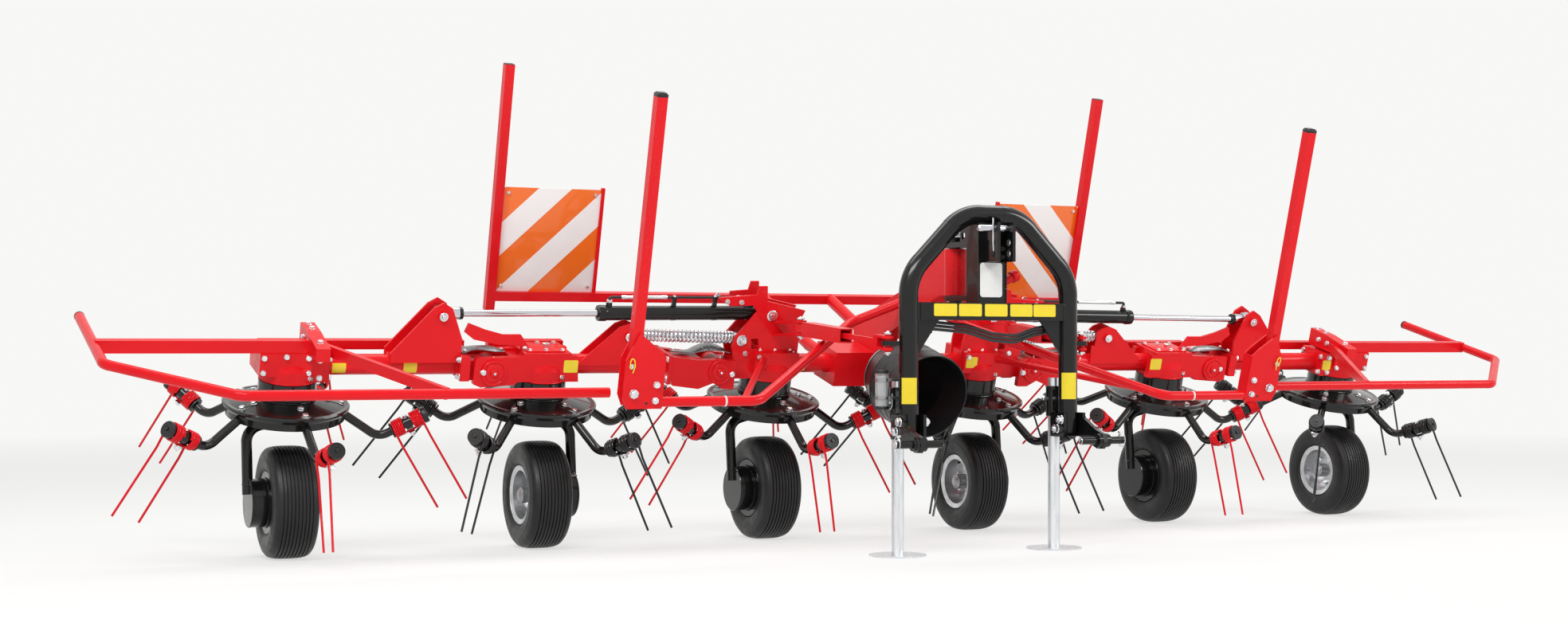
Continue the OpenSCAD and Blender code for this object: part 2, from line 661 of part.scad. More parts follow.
// Outer wing: hinge knuckle, flange block, beam, rod bracket and gearbox, with X from the outer hinge
rod_plate = [[384, 700], [384, 735], [234, 905], [198, 925], [164, 905], [120, 790], [120, 700]];
outer_gearbox_shift = 27;
module outer_wing(s) color(red) leaning() side(s) {
  difference() {
    union() {
      bar_y(hinge_b_x, cyl_y - knuckle_l / 2, cyl_y + knuckle_l / 2, hinge_z, knuckle_d);
      box_at([hinge_b_x, cyl_y - knuckle_l / 2, hinge_z - 38],
             [hinge_b_x + 100, cyl_y + knuckle_l / 2, hinge_z + 38]);
      box_at([hinge_b_x + 91, cyl_y - fork_off - fork_t / 2, 637],
             [hinge_b_x + 126, cyl_y + fork_off + fork_t / 2, 730]);
    }
    bar_y(hinge_b_x, -100, 400, hinge_z, hinge_pin_d + 2 * run_gap);
  }
  bar_x(hinge_b_x + 120, rotor_x(6) - 60, rotor_back, beam_z, beam_d);
  gearbox(rotor_x(6), 0, outer_gearbox_shift);
  bar_x(rotor_x(6) - 90, rotor_x(6) + 90, rotor_back, beam_z, beam_d);
  box_at([rotor_x(6) - 130, rotor_back - 74, drum_low_z + 5],
         [rotor_x(6) - 60, rotor_back + 74, gearbox_top - 7]);
  tie_bar(hinge_b_x + 63, rotor_x(6) + 87.5, rotor_x(6));
  translate([hinge_b_x, 0, 0])
    for (y = [-1, 1]) plate_xz(rod_plate, cyl_y + y * (bracket_gap + bracket_t) / 2, bracket_t);
  box_at([hinge_b_x + 122, cyl_y - bracket_gap / 2 - 5, 703],
         [hinge_b_x + 380, cyl_y + bracket_gap / 2 + 5, 724]);
  for (y = [-1, 1]) bar_y(cyl_rod[0], cyl_y + y * 46 - 9, cyl_y + y * 46 + 9, cyl_rod[1], eye_pin_d + 10);
}

// Outer guard: front bar, side, upper bar and the flat braces to the gearbox
guard_y = -514;
guard_bar_y = 92;
guard_bar_h = 2 * (guard_z - gearbox_top - seat_gap);
guard_corner_x = rotor_x(6) + 301.5;
guard_end_x = rotor_x(6) + 677.5;
clamp_x = rotor_x(6) - 75.5;
clamp_low_z = gearbox_top + seat_gap;
clamp_outline = [[-40, clamp_low_z], [228, clamp_low_z], [228, 817], [120, 812], [-40, 790]];
module outer_guard(s) color(red) leaning() side(s) {
  bent_tube([[rotor_x(5) - 22.5, guard_y, guard_z], [guard_corner_x, guard_y, guard_z],
             [guard_end_x, -134, guard_z], [guard_end_x, 490, guard_z]], guard_d, 60);
  flat_between([clamp_x, guard_bar_y], [guard_end_x, guard_bar_y], guard_z, 32, guard_bar_h);
  flat_between([rotor_x(6) - 387.5, guard_y], [clamp_x - 10, guard_bar_y - 5], guard_z, 20, guard_bar_h - 6);
  difference() {
    plate_yz(clamp_outline, clamp_x, 50);
    plate_yz([[125, clamp_low_z - 1], [229, clamp_low_z - 1], [229, 807], [125, 803]], clamp_x, 34);
  }
}

// Fold cylinder: barrel with its eye, and the ram with its eye
barrel_end_x = hinge_a_x + 498.5;
module cylinder_frame() translate([cyl_base[0], cyl_y, cyl_base[1]])
  rotate([0, atan2(cyl_base[1] - cyl_rod[1], cyl_rod[0] - cyl_base[0]), 0]) children();
cyl_len = norm(cyl_rod - cyl_base);
barrel_l = barrel_end_x - cyl_base[0];
ram_engaged = 200;
module barrel(s) color(black) leaning() side(s) cylinder_frame() {
  difference() {
    union() {
      bar_x(35, barrel_l, 0, 0, barrel_d);
      bar_y(0, -25, 25, 0, barrel_d - 4);
      bar_x(0, 40, 0, 0, 44);
    }
    bar_x(60, barrel_l + 10, 0, 0, rod_d + 1);
  }
  bar_y(0, -50, 50, 0, eye_pin_d);
}
module ram(s) color(steel) leaning() side(s) cylinder_frame() {
  bar_x(barrel_l - ram_engaged, cyl_len - 30, 0, 0, rod_d);
  bar_y(cyl_len, -25, 25, 0, 60);
  bar_x(cyl_len - 80, cyl_len - 20, 0, 0, 46);
}

// Spring over the fold hinge
spring_len = norm(spring_wing - spring_base);
spring_coil_l = spring_len - 90;
spring_d = 51;
spring_wire = 9;
spring_turns = 23;
spring_pitch = (spring_coil_l - 2 * spring_wire) / (spring_turns - 1);
module spring_frame() translate([spring_base[0], cyl_y, spring_base[1]])
  rotate([0, atan2(spring_base[1] - spring_wing[1], spring_wing[0] - spring_base[0]), 0]) children();
module spring(s) color(steel) leaning() side(s) spring_frame() {
  bar_x(0, spring_len - 5, 0, 0, 16);
  bar_y(spring_len, -18, 18, 0, 34);
  bar_y(0, -50, 50, 0, eye_pin_d);
  bar_y(0, -20, 20, 0, 40);
  translate([30, 0, 0]) rotate([0, 90, 0]) rotate_extrude() {
    square([spring_d / 2 - spring_wire + 0.5, spring_coil_l]);
    for (t = [0 : spring_turns - 1]) translate([(spring_d - spring_wire) / 2, spring_wire + t * spring_pitch])
      circle(d = spring_wire, $fn = 24);
  }
}

// Rotor: disc, lower ring, hub and bent arms with their coil holders
arm_rise = 30;
arm_start_r = 195;
arm_bend_r = 60;
coil_mid_z = 478;
// Place of the bend, on the line of the coils
arm_low_r = 335;
arm_low_z = coil_mid_z - (coil_mid_r - arm_low_r) * tan(arm_rise);
coil_gap = 26;
cap_t = 14;
coil_l = coil_turns * wire_d;
arm_in = [cos(arm_rise), 0, sin(arm_rise)];
arm_mid = [coil_mid_r, 0, coil_mid_z];
arm_end = arm_mid + arm_in * (coil_gap / 2 + coil_l + 1);

neck_r = drum_r + 1;
neck_top = drum_low_z - 2;
module rotor_disc() rotate_extrude($fn = 96) polygon([
  [column_d / 2 + run_gap, disc_z - 45], [disc_r - 15, disc_z - 45], [disc_r - 15, disc_z - 20],
  [disc_r - 8, disc_z - 8], [disc_r, disc_z - 6], [disc_r, disc_z], [disc_r - 6, disc_z + 4],
  [disc_r - 22, disc_z + 2], [neck_r + 16, disc_z + 22], [neck_r, disc_z + 24], [neck_r, neck_top],
  [column_d / 2 + run_gap, neck_top]
]);
module arm() {
  bent_tube([[arm_start_r, 0, disc_z - 28], [arm_low_r, 0, arm_low_z], arm_end], arm_d, arm_bend_r);
  frame_at(arm_mid - arm_in * (coil_gap / 2 - seat_gap), [0, 1, 0], arm_in)
    cylinder(d = 46, h = coil_gap - 2 * seat_gap);
  frame_at(arm_end - arm_in * 0.5, [0, 1, 0], arm_in) cylinder(d = 56, h = cap_t);
}
module rotor(i) color(black) leaning() translate([rotor_x(i), rotor_back, 0]) {
  rotor_disc();
  for (k = [0 : arm_count - 1]) rotate([0, 0, first_arm(i) + 360 / arm_count * k]) arm();
}

// Two coils on each arm, each with its tine; s turns the tines to trail
// Each coil starts at a on the arm and is wound along dir; its last turn is the one the tine leaves
wall_in = arm_d / 2 + seat_gap;
module coil(a, dir) frame_at(a, [0, 1, 0], dir) rotate_extrude() {
  translate([wall_in, 0]) square([(coil_d - wire_d) / 2 - wall_in, coil_l - wire_d / 2]);
  for (t = [0 : coil_turns - 2]) translate([(coil_d - wire_d) / 2, wire_d * (t + 0.5)])
    circle(d = wire_d - 0.1, $fn = 24);
  translate([wall_in, coil_l - wire_d]) square([coil_d / 2 - wall_in, wire_d]);
}
tine_down = [sin(arm_rise), 0, -cos(arm_rise)];
tine_knee = 70;
module tine(a, dir, tip, s) {
  coil(a, dir);
  start = a + dir * (coil_l - wire_d / 2) + [0, s * (coil_d / 2 - wire_d * 0.8), 0];
  bent_tube([start, start + tine_down * tine_knee, tip], wire_d - 0.4, 30);
}
tip_lag = 5;
function lag_point(r, z, s) = [r * cos(tip_lag), s * r * sin(tip_lag), z];
module tines(i) color(phase_sign(i) > 0 ? red : black) leaning() translate([rotor_x(i), rotor_back, 0])
  for (k = [0 : arm_count - 1]) rotate([0, 0, first_arm(i) + 360 / arm_count * k]) {
    s = -phase_sign(i);
    tine(arm_mid + arm_in * coil_gap / 2, arm_in, lag_point(tip_r, tip_z, s), s);
    tine(arm_mid - arm_in * coil_gap / 2, -arm_in, lag_point(tip_r - 102, tip_z - 40, s), s);
  }

// Wheels: rim with hub and axle bore, and a ribbed tyre
hub_l = 120;
module wheel_at(i)
  upright() translate([rotor_x(i), 0, wheel_z]) side(leg_side(i)) rotate([0, 90, 0]) children();
module rim(i) color(steel) wheel_at(i) rotate_extrude($fn = 64) polygon([
  [axle_d / 2 + run_gap, -60], [30, -60], [30, -20], [88, -10], [92, -66], [rim_d / 2 + 8, -72],
  [rim_d / 2 + 8, -66], [rim_d / 2, -62], [rim_d / 2, 62], [rim_d / 2 + 8, 66], [rim_d / 2 + 8, 72],
  [96, 72], [96, 0], [30, -8], [30, 60], [axle_d / 2 + run_gap, 60]
]);
module tyre(i) color(rubber) wheel_at(i) rotate_extrude($fn = 96) difference() {
  tyre_section();
  for (g = [-4 : 4]) translate([tyre_d / 2 - 4, g * 13 - 1.5]) square([10, 3]);
}
module tyre_section() {
  r0 = rim_d / 2 + seat_gap;
  r1 = tyre_d / 2;
  bulge = 0.4 * (r1 - r0);
  shoulder = 0.14 * (r1 - r0);
  half_w = tyre_w / 2;
  polygon([[r0, -60], [r0 + 9, -60], [r0 + 9, 8.5 - half_w], [r0 + bulge, -half_w], [r1 - bulge, -half_w],
           [r1 - shoulder, 8.5 - half_w], [r1 - 2, -60], [r1, -30], [r1, 30], [r1 - 2, 60],
           [r1 - shoulder, half_w - 8.5], [r1 - bulge, half_w], [r0 + bulge, half_w], [r0 + 9, half_w - 8.5],
           [r0 + 9, 60], [r0, 60]]);
}

headstock_frame();
lower_hitch();
top_link_bracket();
stand(-1);  // stand_left
stand(1);  // stand_right
centre_frame();
centre_brackets();
centre_gearboxes();
centre_legs();
drive_guard();
drive_shaft();
inner_guards();
sign_frame();
sign_boards();
front_post(-1);  // front_post_left
front_post(1);  // front_post_right
link_bar(-1);  // link_bar_left
link_bar(1);  // link_bar_right
link_sleeve(-1);  // link_sleeve_left
link_sleeve(1);  // link_sleeve_right
inner_wing(-1);  // inner_wing_left
inner_wing(1);  // inner_wing_right
inner_leg(2);  // inner_leg_left
inner_leg(5);  // inner_leg_right
outer_wing(-1);  // outer_wing_left
outer_wing(1);  // outer_wing_right
outer_leg(1);  // outer_leg_left
outer_leg(6);  // outer_leg_right
outer_guard(-1);  // outer_guard_left
outer_guard(1);  // outer_guard_right
barrel(-1);  // barrel_left
barrel(1);  // barrel_right
ram(-1);  // ram_left
ram(1);  // ram_right
spring(-1);  // spring_left
spring(1);  // spring_right
rotor(1);  // rotor_1
rotor(2);  // rotor_2
rotor(3);  // rotor_3
rotor(4);  // rotor_4
rotor(5);  // rotor_5
rotor(6);  // rotor_6
tines(1);  // tines_1
tines(2);  // tines_2
tines(3);  // tines_3
tines(4);  // tines_4
tines(5);  // tines_5
tines(6);  // tines_6
rim(1);  // rim_1
rim(2);  // rim_2
rim(3);  // rim_3
rim(4);  // rim_4
rim(5);  // rim_5
rim(6);  // rim_6
tyre(1);  // tyre_1
tyre(2);  // tyre_2
tyre(3);  // tyre_3
tyre(4);  // tyre_4
tyre(5);  // tyre_5
tyre(6);  // tyre_6
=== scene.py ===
"""Looks of the six-rotor hay tedder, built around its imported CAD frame."""
import json
import math

import bmesh
import bpy
from mathutils import Matrix, Vector

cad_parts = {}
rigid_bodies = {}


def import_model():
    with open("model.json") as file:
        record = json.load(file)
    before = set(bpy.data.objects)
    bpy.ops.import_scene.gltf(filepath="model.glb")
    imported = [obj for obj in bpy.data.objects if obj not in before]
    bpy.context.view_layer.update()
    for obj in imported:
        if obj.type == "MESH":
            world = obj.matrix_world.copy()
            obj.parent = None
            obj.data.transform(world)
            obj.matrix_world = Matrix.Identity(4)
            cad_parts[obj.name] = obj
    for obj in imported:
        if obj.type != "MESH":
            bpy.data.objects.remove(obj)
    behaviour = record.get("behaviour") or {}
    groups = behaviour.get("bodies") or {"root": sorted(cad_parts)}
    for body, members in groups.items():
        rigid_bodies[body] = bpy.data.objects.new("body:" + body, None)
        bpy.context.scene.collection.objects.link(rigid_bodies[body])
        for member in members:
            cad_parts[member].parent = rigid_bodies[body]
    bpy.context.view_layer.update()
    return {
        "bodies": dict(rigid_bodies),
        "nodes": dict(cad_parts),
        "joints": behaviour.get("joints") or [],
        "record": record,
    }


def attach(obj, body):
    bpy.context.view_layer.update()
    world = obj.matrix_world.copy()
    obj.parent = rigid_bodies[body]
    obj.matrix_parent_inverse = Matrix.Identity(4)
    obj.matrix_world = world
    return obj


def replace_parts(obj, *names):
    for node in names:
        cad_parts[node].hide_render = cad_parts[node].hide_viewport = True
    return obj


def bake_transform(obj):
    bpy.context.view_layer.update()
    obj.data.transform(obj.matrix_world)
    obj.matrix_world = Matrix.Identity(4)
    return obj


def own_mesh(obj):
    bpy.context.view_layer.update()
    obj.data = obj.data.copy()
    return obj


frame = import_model()
NODES = frame["nodes"]

# Sizes repeated from the part's source, in metres
Y_SHIFT = 0.1975
BEAM_Z = 0.680
HINGE_Z = 0.670
WHEEL_Z = 0.2025
DISC_TOP, DISC_R, DISC_SLOPE = 0.540, 0.203, 20 / 84
LEAN = math.radians(15.5)
PITCH = 0.945
ROTOR_BACK = 0.154
ARM_COUNT = 5
# Place along the width in pitches, side of the leg that the wheel is on, and sense of the arms
ROTORS = {i: (i - 3.5, -1 if i % 2 else 1, 1 if i % 2 else -1) for i in range(1, 7)}
LEG_BODY = {1: "outer_wing_left", 2: "inner_wing_left", 3: "centre", 4: "centre", 5: "inner_wing_right",
            6: "outer_wing_right"}
SIGN_POST_X = 1.5 * PITCH - 0.0275
BOARD_OUT = SIGN_POST_X - 0.019
BOARD_W = 0.420
BOARD_Z = (0.7745, 1.2065)
BOARD_LOW = 0.905 * math.sin(LEAN) + BOARD_Z[0] * math.cos(LEAN)


def move(x, y, z):
    return Matrix.Translation((x, y, z))


def turn(degrees, axis):
    return Matrix.Rotation(math.radians(degrees), 4, axis)


def mm(points):
    """Points given in millimetres, in metres."""
    return [tuple(v / 1000 for v in point) for point in points]


UPRIGHT = move(0, Y_SHIFT, 0)
LEANING = UPRIGHT @ Matrix.Rotation(LEAN, 4, "X")
MIRROR = Matrix.Scale(-1, 4, (1, 0, 0))


def sided(s):
    """Mirror matrix for the left side, and nothing for the right."""
    return MIRROR if s < 0 else Matrix.Identity(4)


# Materials

def grey(v):
    return v, v, v


def feed(nt, node, inputs):
    """Set or link a node's inputs, given by name or number."""
    for key, value in inputs.items():
        if isinstance(value, bpy.types.NodeSocket):
            nt.links.new(value, node.inputs[key])
        else:
            node.inputs[key].default_value = value


def add(nt, kind, inputs={}, **settings):
    node = nt.nodes.new("ShaderNode" + kind)
    for key, value in settings.items():
        setattr(node, key, value)
    feed(nt, node, inputs)
    return node


def node_material(name):
    """New material, its node tree, its shader and the object coordinates."""
    m = bpy.data.materials.new(name)
    m.use_nodes = True
    nt = m.node_tree
    return m, nt, nt.nodes["Principled BSDF"], add(nt, "TexCoord").outputs["Object"]


def noise(nt, at, scale, detail, rough):
    inputs = {"Vector": at, "Scale": scale, "Detail": detail, "Roughness": rough}
    return add(nt, "TexNoise", inputs).outputs["Fac"]


def ramp(nt, value, dark_at, dark, light_at, light):
    node = add(nt, "ValToRGB", {"Fac": value})
    for element, place, colour in zip(node.color_ramp.elements, (dark_at, light_at), (dark, light)):
        element.position, element.color = place, (*colour, 1)
    return node.outputs["Color"]


def map_range(nt, value, a, b, lo, hi):
    inputs = {"Value": value, "From Min": a, "From Max": b, "To Min": lo, "To Max": hi}
    return add(nt, "MapRange", inputs).outputs["Result"]


def math_node(nt, operation, a, b=None):
    return add(nt, "Math", {0: a} if b is None else {0: a, 1: b}, operation=operation).outputs[0]


def mix_colour(nt, fac, a, b):
    a, b = ((*v, 1) if isinstance(v, tuple) else v for v in (a, b))
    return add(nt, "Mix", {0: fac, 6: a, 7: b}, data_type="RGBA").outputs[2]


def bump(nt, bsdf, height, strength, distance):
    node = add(nt, "Bump", {"Height": height, "Strength": strength, "Distance": distance})
    nt.links.new(node.outputs["Normal"], bsdf.inputs["Normal"])


def paint(name, colour, deep, rough=0.28, coat=0.12, shine=0.15, edge=None, scale=1.0):
    """Sprayed gloss paint: slight shade changes, orange peel and, where edge is given, worn edges."""
    m, nt, bsdf, at = node_material(name)
    shade = ramp(nt, noise(nt, at, 3.1 * scale, 4, 0.6), 0.25, deep, 0.7, colour)
    if edge:
        corners = add(nt, "NewGeometry").outputs["Pointiness"]
        worn = map_range(nt, corners, 0.57, 0.66, 0.0, 0.4)
        speck = map_range(nt, noise(nt, at, 160, 5, 0.7), 0.50, 0.66, 0.0, 1.0)
        shade = mix_colour(nt, math_node(nt, "MULTIPLY", worn, speck), shade, edge)
    dull = map_range(nt, noise(nt, at, 22, 5, 0.6), 0.3, 0.75, rough, rough + 0.13)
    feed(nt, bsdf, {"Base Color": shade, "Roughness": dull, "Coat Weight": coat, "Coat Roughness": 0.03,
                    "Specular IOR Level": shine})
    bump(nt, bsdf, noise(nt, at, 260, 2, 0.5), 0.07, 0.0012)
    return m


def metal(name, colour, dark, rough, scale, spangle, stretch=None):
    """Plated or polished metal with a fine broken sheen."""
    m, nt, bsdf, at = node_material(name)
    if stretch:
        at = add(nt, "Mapping", {"Vector": at, "Scale": stretch}).outputs["Vector"]
    cloud = noise(nt, at, scale, 4, 0.6)
    feed(nt, bsdf, {"Base Color": ramp(nt, cloud, 0.3, dark, 0.65, colour), "Metallic": 1.0,
                    "Roughness": map_range(nt, cloud, 0.3, 0.7, rough + 0.12, rough)})
    bump(nt, bsdf, noise(nt, at, scale * 7, 3, 0.6), 0.05 + spangle, 0.0006)
    return m


def plastic(name, colour, deep, rough, grain=420.0):
    m, nt, bsdf, at = node_material(name)
    dull = map_range(nt, noise(nt, at, 30, 4, 0.6), 0.3, 0.7, rough - 0.06, rough + 0.1)
    shade = ramp(nt, noise(nt, at, 9, 4, 0.6), 0.3, deep, 0.7, colour)
    feed(nt, bsdf, {"Base Color": shade, "Roughness": dull})
    bump(nt, bsdf, noise(nt, at, grain, 2, 0.5), 0.12, 0.0008)
    return m


def rubber(name):
    """Tyre rubber with a dusty bloom."""
    m, nt, bsdf, at = node_material(name)
    bloom = ramp(nt, noise(nt, at, 7, 5, 0.65), 0.3, grey(0.006), 0.75, (0.018, 0.018, 0.019))
    dull = map_range(nt, noise(nt, at, 35, 4, 0.6), 0.3, 0.7, 0.34, 0.52)
    feed(nt, bsdf, {"Base Color": bloom, "Roughness": dull, "Specular IOR Level": 0.35})
    bump(nt, bsdf, noise(nt, at, 300, 3, 0.6), 0.18, 0.001)
    return m


def clear(name):
    """Clear plastic with a slight haze."""
    m, nt, bsdf, at = node_material(name)
    haze = ramp(nt, noise(nt, at, 20, 3, 0.5), 0.3, (0.78, 0.80, 0.81), 0.7, (0.88, 0.90, 0.90))
    dull = map_range(nt, noise(nt, at, 60, 3, 0.6), 0.3, 0.7, 0.06, 0.2)
    feed(nt, bsdf, {"Base Color": haze, "Roughness": dull, "Transmission Weight": 0.85, "IOR": 1.4})
    return m


def board(name):
    """Reflective warning board: orange and white stripes at 45 degrees, with a cell pattern in the film."""
    m, nt, bsdf, at = node_material(name)
    xyz = add(nt, "SeparateXYZ", {0: at}).outputs
    # Across and up the board from its outer lower corner, as shares of its width
    inward = math_node(nt, "SUBTRACT", BOARD_OUT, math_node(nt, "ABSOLUTE", xyz["X"]))
    across = math_node(nt, "DIVIDE", inward, BOARD_W)
    up = math_node(nt, "DIVIDE", math_node(nt, "SUBTRACT", xyz["Z"], BOARD_LOW), BOARD_W * math.cos(LEAN))
    slant = math_node(nt, "MULTIPLY", math_node(nt, "SUBTRACT", across, up), 1.5)
    stripe = math_node(nt, "MODULO", math_node(nt, "ADD", slant, 7.5), 1.0)
    orange = math_node(nt, "LESS_THAN", stripe, 0.5)
    feed(nt, bsdf, {"Base Color": mix_colour(nt, orange, (0.93, 0.93, 0.92), (0.93, 0.17, 0.010)),
                    "Roughness": 0.3, "Coat Weight": 0.5})
    cells = add(nt, "TexVoronoi", {"Vector": at, "Scale": 260})
    bump(nt, bsdf, cells.outputs["Distance"], 0.10, 0.0006)
    return m


RED = paint("red_gloss", (0.80, 0.008, 0.014), (0.73, 0.006, 0.012), edge=(0.80, 0.09, 0.08))
BLACK = paint("black_gloss", grey(0.007), grey(0.004), 0.16, 0.35, 0.2)
ROTOR_BLACK = paint("rotor_black_gloss", grey(0.008), grey(0.004), 0.15, 0.45, 0.2)
TINE_RED = paint("tine_red_gloss", (0.78, 0.008, 0.016), (0.66, 0.006, 0.012), edge=(0.65, 0.13, 0.11), scale=4)
TINE_BLACK = paint("tine_black_gloss", grey(0.012), grey(0.006), 0.24, 0.3, 0.25, scale=4)
RIM = metal("rim_silver", (0.66, 0.67, 0.68), (0.46, 0.47, 0.48), 0.30, 18, 0.02)
ZINC = metal("zinc_plate", (0.84, 0.86, 0.88), (0.60, 0.62, 0.65), 0.20, 30, 0.03)
GALVANISED = metal("galvanised_tube", (0.84, 0.86, 0.88), (0.62, 0.65, 0.68), 0.28, 60, 0.06, (1, 1, 0.12))
CHROME = metal("hard_chrome", (0.66, 0.66, 0.69), (0.56, 0.56, 0.60), 0.05, 90, 0.0, (0.05, 1, 1))
STEEL = metal("bare_steel", (0.42, 0.42, 0.43), (0.24, 0.24, 0.25), 0.35, 45, 0.05)
TYRE = rubber("tyre_rubber")
CAP = plastic("rubber_cap", (0.009, 0.009, 0.010), (0.005, 0.005, 0.006), 0.40)
HOSE = plastic("hose_rubber", (0.014, 0.014, 0.016), (0.008, 0.008, 0.009), 0.5, 900)
GUARD_PLASTIC = plastic("guard_plastic", (0.014, 0.014, 0.015), (0.008, 0.008, 0.009), 0.34)
BOARD = board("warning_board")
YELLOW = plastic("yellow_film", (0.90, 0.72, 0.03), (0.84, 0.64, 0.02), 0.34, 700)
CLEAR = clear("clear_plastic")
COVER = metal("dark_cover", (0.24, 0.235, 0.24), (0.10, 0.10, 0.105), 0.24, 14, 0.08)
WHITE = plastic("white_film", (0.80, 0.80, 0.79), (0.72, 0.72, 0.71), 0.36, 700)

# Looks of the solids by the start of their names; the rest is red
NODE_LOOK = {
    "headstock_frame": BLACK, "lower_hitch": BLACK, "top_link_bracket": BLACK, "centre_legs": BLACK,
    "drive_guard": GUARD_PLASTIC, "sign_boards": BOARD, "drive_shaft": STEEL,
    "stand_": GALVANISED, "barrel_": BLACK, "ram_": CHROME, "spring_": ZINC, "rotor_": ROTOR_BLACK,
    "rim_": RIM, "tyre_": TYRE, "inner_leg_": BLACK, "outer_leg_": BLACK,
}
for name, obj in NODES.items():
    look = next((look for start, look in NODE_LOOK.items() if name.startswith(start)), RED)
    if name.startswith("tines_"):
        look = TINE_RED if ROTORS[int(name[-1])][2] > 0 else TINE_BLACK
    obj.data.materials.clear()
    obj.data.materials.append(look)


# Mesh building

class Builder:
    """Gathers loose shapes of one material on one body into one mesh object."""

    def __init__(self):
        self.verts, self.faces = [], []

    def put(self, verts, faces, at):
        base = len(self.verts)
        flip = at.determinant() < 0
        self.verts += [at @ Vector(v) for v in verts]
        self.faces += [tuple(base + i for i in (reversed(f) if flip else f)) for f in faces]

    def finish(self, name, look, body, slot, smooth_angle=35):
        me = bpy.data.meshes.new(name)
        me.from_pydata([tuple(v) for v in self.verts], [], self.faces)
        me.materials.append(look)
        me.update()
        bm = bmesh.new()
        bm.from_mesh(me)
        bmesh.ops.recalc_face_normals(bm, faces=bm.faces)
        bm.to_mesh(me)
        bm.free()
        for p in me.polygons:
            p.use_smooth = True
        me.set_sharp_from_angle(angle=math.radians(smooth_angle))
        obj = bpy.data.objects.new(name, me)
        bpy.context.scene.collection.objects.link(obj)
        if body:
            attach(obj, body)
        return obj


def polar(r, share, z):
    """Point at a radius, a share of the full turn about Z, and a height."""
    a = 2 * math.pi * share
    return r * math.cos(a), r * math.sin(a), z


def lathe(profile, segments):
    """Closed solid turned about Z from (radius, height) points that run from the axis back to the axis."""
    verts, faces, rings = [], [], []
    for r, z in profile:
        count = segments if r else 1
        rings.append([len(verts) + k % count for k in range(segments)])
        verts += [polar(r, k / segments, z) for k in range(count)]
    for a, b in zip(rings, rings[1:]):
        for k in range(segments):
            j = (k + 1) % segments
            faces.append(tuple(dict.fromkeys((a[k], a[j], b[j], b[k]))))
    return verts, [f for f in faces if len(f) > 2]


def loop_faces(count, n):
    """Faces of a closed ring of count sections, each a closed loop of n points."""
    faces = []
    for k in range(count):
        for i in range(n):
            here, beyond, j = k * n, (k + 1) % count * n, (i + 1) % n
            faces.append((here + i, beyond + i, beyond + j, here + j))
    return faces


def ring(profile, segments):
    """Closed ring turned about Z from a closed loop of (radius, height) points."""
    verts = [polar(r, k / segments, z) for k in range(segments) for r, z in profile]
    return verts, loop_faces(segments, len(profile))


def tube(points, radius, sides, taper=None):
    """Tube along a list of points, closed at both ends; taper gives the radius share at each point."""
    pts = [Vector(p) for p in points]
    n = len(pts)
    tangents = [(pts[min(i + 1, n - 1)] - pts[max(i - 1, 0)]).normalized() for i in range(n)]
    previous = tangents[0]
    normal = previous.orthogonal().normalized()
    verts, faces = [], []
    for i, (p, t) in enumerate(zip(pts, tangents)):
        if i:
            normal = (previous.rotation_difference(t) @ normal).normalized()
            previous = t
        side = t.cross(normal)
        r = radius * (taper[i] if taper else 1.0)
        for k in range(sides):
            a = 2 * math.pi * k / sides
            verts.append(p + normal * (r * math.cos(a)) + side * (r * math.sin(a)))
    for i in range(n - 1):
        for k in range(sides):
            j = (k + 1) % sides
            faces.append((i * sides + k, i * sides + j, (i + 1) * sides + j, (i + 1) * sides + k))
    return verts, faces + [tuple(range(sides))[::-1], tuple(range((n - 1) * sides, n * sides))]


def box(size, centre=(0, 0, 0), bevel=0.001):
    """Block with chamfered edges."""
    bm = bmesh.new()
    bmesh.ops.create_cube(bm, size=1.0)
    for v in bm.verts:
        v.co = [p * s + c for p, s, c in zip(v.co, size, centre)]
    bmesh.ops.bevel(bm, geom=bm.edges[:], offset=bevel, segments=2, profile=0.5, affect="EDGES")
    bm.verts.index_update()
    verts = [tuple(v.co) for v in bm.verts]
    faces = [tuple(v.index for v in f.verts) for f in bm.faces]
    bm.free()
    return verts, faces


def hexagon(across, height, chamfer, z0):
    """Hexagonal head or nut with chamfered corners, its foot at z0."""
    r = across / math.sqrt(3)
    levels = ((r, z0), (r, z0 + height - chamfer), (r * 0.90, z0 + height))
    verts = [polar(rr, k / 6, z) for rr, z in levels for k in range(6)]
    faces = [tuple(range(6))[::-1], tuple(range(12, 18))]
    faces += [(n + k, n + (k + 1) % 6, n + 6 + (k + 1) % 6, n + 6 + k) for n in (0, 6) for k in range(6)]
    return verts, faces


def bolt(builder, at, d, washer=True, nut=False):
    """Hex bolt head on a washer, standing up along Z of the frame at; a nut shows its thread end."""
    w = d * 0.2 if washer else 0.0
    height = d * (0.8 if nut else 0.65)
    top = w + height
    if washer:
        builder.put(*lathe([(0, 0), (d, 0), (d * 1.06, w * 0.4), (d, w), (0, w)], 20), at)
    builder.put(*hexagon(d * 1.7, height, d * 0.1, w), at)
    if nut:
        builder.put(*lathe([(0, top - 0.001), (d / 2, top - 0.001), (d / 2, top + d * 0.3),
                            (d * 0.4, top + d * 0.4), (0, top + d * 0.4)], 14), at)
    else:
        builder.put(*lathe([(0, top - 0.0005), (d * 0.62, top - 0.0005), (d * 0.55, top + d * 0.06),
                            (0, top + d * 0.06)], 16), at)


def facing(point, direction, spin=0.0):
    """Frame with its origin at point and its Z along direction."""
    q = Vector((0, 0, 1)).rotation_difference(Vector(direction).normalized())
    return Matrix.Translation(point) @ q.to_matrix().to_4x4() @ Matrix.Rotation(spin, 4, "Z")


def rotor_axis(i):
    """Frame of rotor i, with Z along its axis."""
    return LEANING @ move(ROTORS[i][0] * PITCH, ROTOR_BACK, 0)


